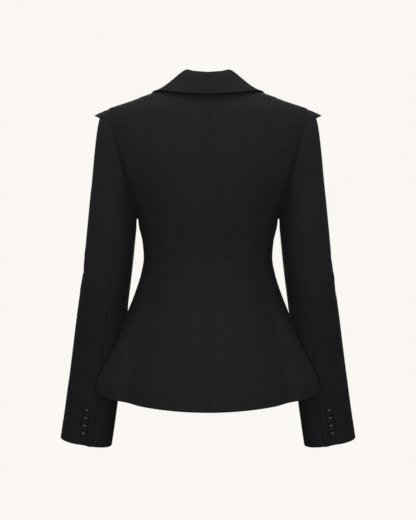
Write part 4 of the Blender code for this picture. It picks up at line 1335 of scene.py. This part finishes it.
for number, twists in enumerate(CUFF_TWISTS):
    z = CUFF_BUTTON_TOP_Z - number * CUFF_BUTTON_STEP
    level = -1.0 - (z - BICEP_Z) / (CUFF_Z - BICEP_Z)
    out = face_normal(sleeve_form, np.array(CUFF_BUTTON_ANGLE), np.array(level))
    seat = sleeve_form(CUFF_BUTTON_ANGLE, level) + CUFF_BUTTON_SEAT * out
    right, left = (f"cuff_button_{side}_{number + 1}" for side in ("right", "left"))
    sew_button(right, CUFF_BUTTON_RADIUS, seat, out, twists.right)
    sew_button(left, CUFF_BUTTON_RADIUS, mirrored(seat), mirrored(out), twists.left)
out = face_normal(lapped_form, np.array(pi), np.array(FRONT_BUTTON_Z))
seat = lapped_form(pi, FRONT_BUTTON_Z) + FRONT_BUTTON_SEAT * out
sew_button("front_button", FRONT_BUTTON_RADIUS, seat, out, FRONT_BUTTON_TWIST)
bpy.data.objects.remove(button_pattern)

# Studio
# A pale, softly glowing round floor that fades out at its rim, and large soft white lights on all sides.
# The camera stands straight behind the back, level with the garment's middle.

BACKGROUND = (0.956, 0.930, 0.888)
FLOOR_Z = -1.45
FLOOR_RADIUS = 3.4
FLOOR_FADE_RADIUS = 1.02
FLOOR_SIDES = 96
FLOOR_PALE = (0.80, 0.78, 0.75, 1.0)
FLOOR_ROUGH = 0.9
FLOOR_GLOW = 0.55
AMBIENT = 0.030
COOL_WHITE = (0.985, 0.985, 1.020)
PHOTO_HEIGHT = 1.014
CAMERA_DISTANCE = 3.0
CAMERA_Z = -0.312
SENSOR = 36.0

Softbox = namedtuple("Softbox", "name x y z aim_z width height power")
SOFTBOXES = (
    Softbox("key", 0.0, -3.46, 1.70, -0.30, 2.4, 1.8, 18.8),
    Softbox("side_right", 1.63, -0.14, 0.85, -0.30, 1.0, 1.0, 6.4),
    Softbox("side_left", -1.63, -0.14, 0.85, -0.30, 1.0, 1.0, 6.4),
    Softbox("fill", 0.0, -3.60, -0.30, -0.30, 2.4, 1.8, 36.9),
    Softbox("low", 0.0, -3.09, -1.13, -0.30, 2.4, 0.6, 12.2),
    Softbox("top", 0.0, 0.0, 2.70, -0.30, 2.4, 1.8, 28.0),
    Softbox("front", 0.0, 2.80, 0.60, -0.30, 2.4, 1.8, 42.0),
)

bpy.ops.mesh.primitive_circle_add(
    vertices=FLOOR_SIDES, radius=FLOOR_RADIUS, fill_type="NGON", location=(0.0, 0.0, FLOOR_Z)
)
floor = bpy.context.active_object
floor.name = "floor"
bpy.ops.object.transform_apply(location=True, rotation=True, scale=True)
floor_finish, tree, shader = new_finish("pale_floor")
shader.inputs["Base Color"].default_value = FLOOR_PALE
shader.inputs["Roughness"].default_value = FLOOR_ROUGH
shader.inputs["Emission Color"].default_value = (*BACKGROUND, 1.0)
shader.inputs["Emission Strength"].default_value = FLOOR_GLOW
place = tree.nodes.new("ShaderNodeTexCoord")
reach = tree.nodes.new("ShaderNodeVectorMath")
reach.operation = "LENGTH"
flat_place = tree.nodes.new("ShaderNodeMapping")
flat_place.inputs["Scale"].default_value = (1.0, 1.0, 0.0)
tree.links.new(place.outputs["Object"], flat_place.inputs["Vector"])
tree.links.new(flat_place.outputs["Vector"], reach.inputs[0])
fade = tree.nodes.new("ShaderNodeMapRange")
fade.interpolation_type = "SMOOTHSTEP"
fade.inputs["From Min"].default_value = FLOOR_FADE_RADIUS
fade.inputs["From Max"].default_value = FLOOR_RADIUS
fade.inputs["To Min"].default_value = 1.0
fade.inputs["To Max"].default_value = 0.0
tree.links.new(reach.outputs["Value"], fade.inputs["Value"])
tree.links.new(fade.outputs["Result"], shader.inputs["Alpha"])
floor.data.materials.append(floor_finish)
floor.visible_diffuse = False
floor.visible_glossy = False
floor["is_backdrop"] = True

world = bpy.data.worlds.new("studio")
bpy.context.scene.world = world
world.use_nodes = True
tree = world.node_tree
ambient = tree.nodes["Background"]
ambient.inputs["Color"].default_value = (*COOL_WHITE, 1.0)
ambient.inputs["Strength"].default_value = AMBIENT
backdrop = tree.nodes.new("ShaderNodeBackground")
backdrop.inputs["Color"].default_value = (*BACKGROUND, 1.0)
path = tree.nodes.new("ShaderNodeLightPath")
mix = tree.nodes.new("ShaderNodeMixShader")
tree.links.new(path.outputs["Is Camera Ray"], mix.inputs["Fac"])
tree.links.new(ambient.outputs["Background"], mix.inputs[1])
tree.links.new(backdrop.outputs["Background"], mix.inputs[2])
tree.links.new(mix.outputs["Shader"], tree.nodes["World Output"].inputs["Surface"])

for softbox in SOFTBOXES:
    light = bpy.data.lights.new(f"softbox_{softbox.name}", "AREA")
    light.shape = "RECTANGLE"
    light.size, light.size_y = softbox.width, softbox.height
    light.energy = softbox.power
    light.color = COOL_WHITE
    lamp = bpy.data.objects.new(f"softbox_{softbox.name}", light)
    lamp.location = (softbox.x, softbox.y, softbox.z)
    aim = Vector((0.0, 0.0, softbox.aim_z)) - lamp.location
    lamp.rotation_euler = aim.to_track_quat("-Z", "Y").to_euler()
    bpy.context.scene.collection.objects.link(lamp)

lens = bpy.data.cameras.new("camera")
lens.sensor_width = SENSOR
lens.lens = SENSOR * CAMERA_DISTANCE / PHOTO_HEIGHT
camera = bpy.data.objects.new("camera", lens)
camera.location = (0.0, -CAMERA_DISTANCE, CAMERA_Z)
camera.rotation_euler = (pi / 2, 0.0, 0.0)
bpy.context.scene.collection.objects.link(camera)
bpy.context.scene.camera = camera
bpy.context.scene.view_settings.view_transform = "Standard"

low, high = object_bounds()
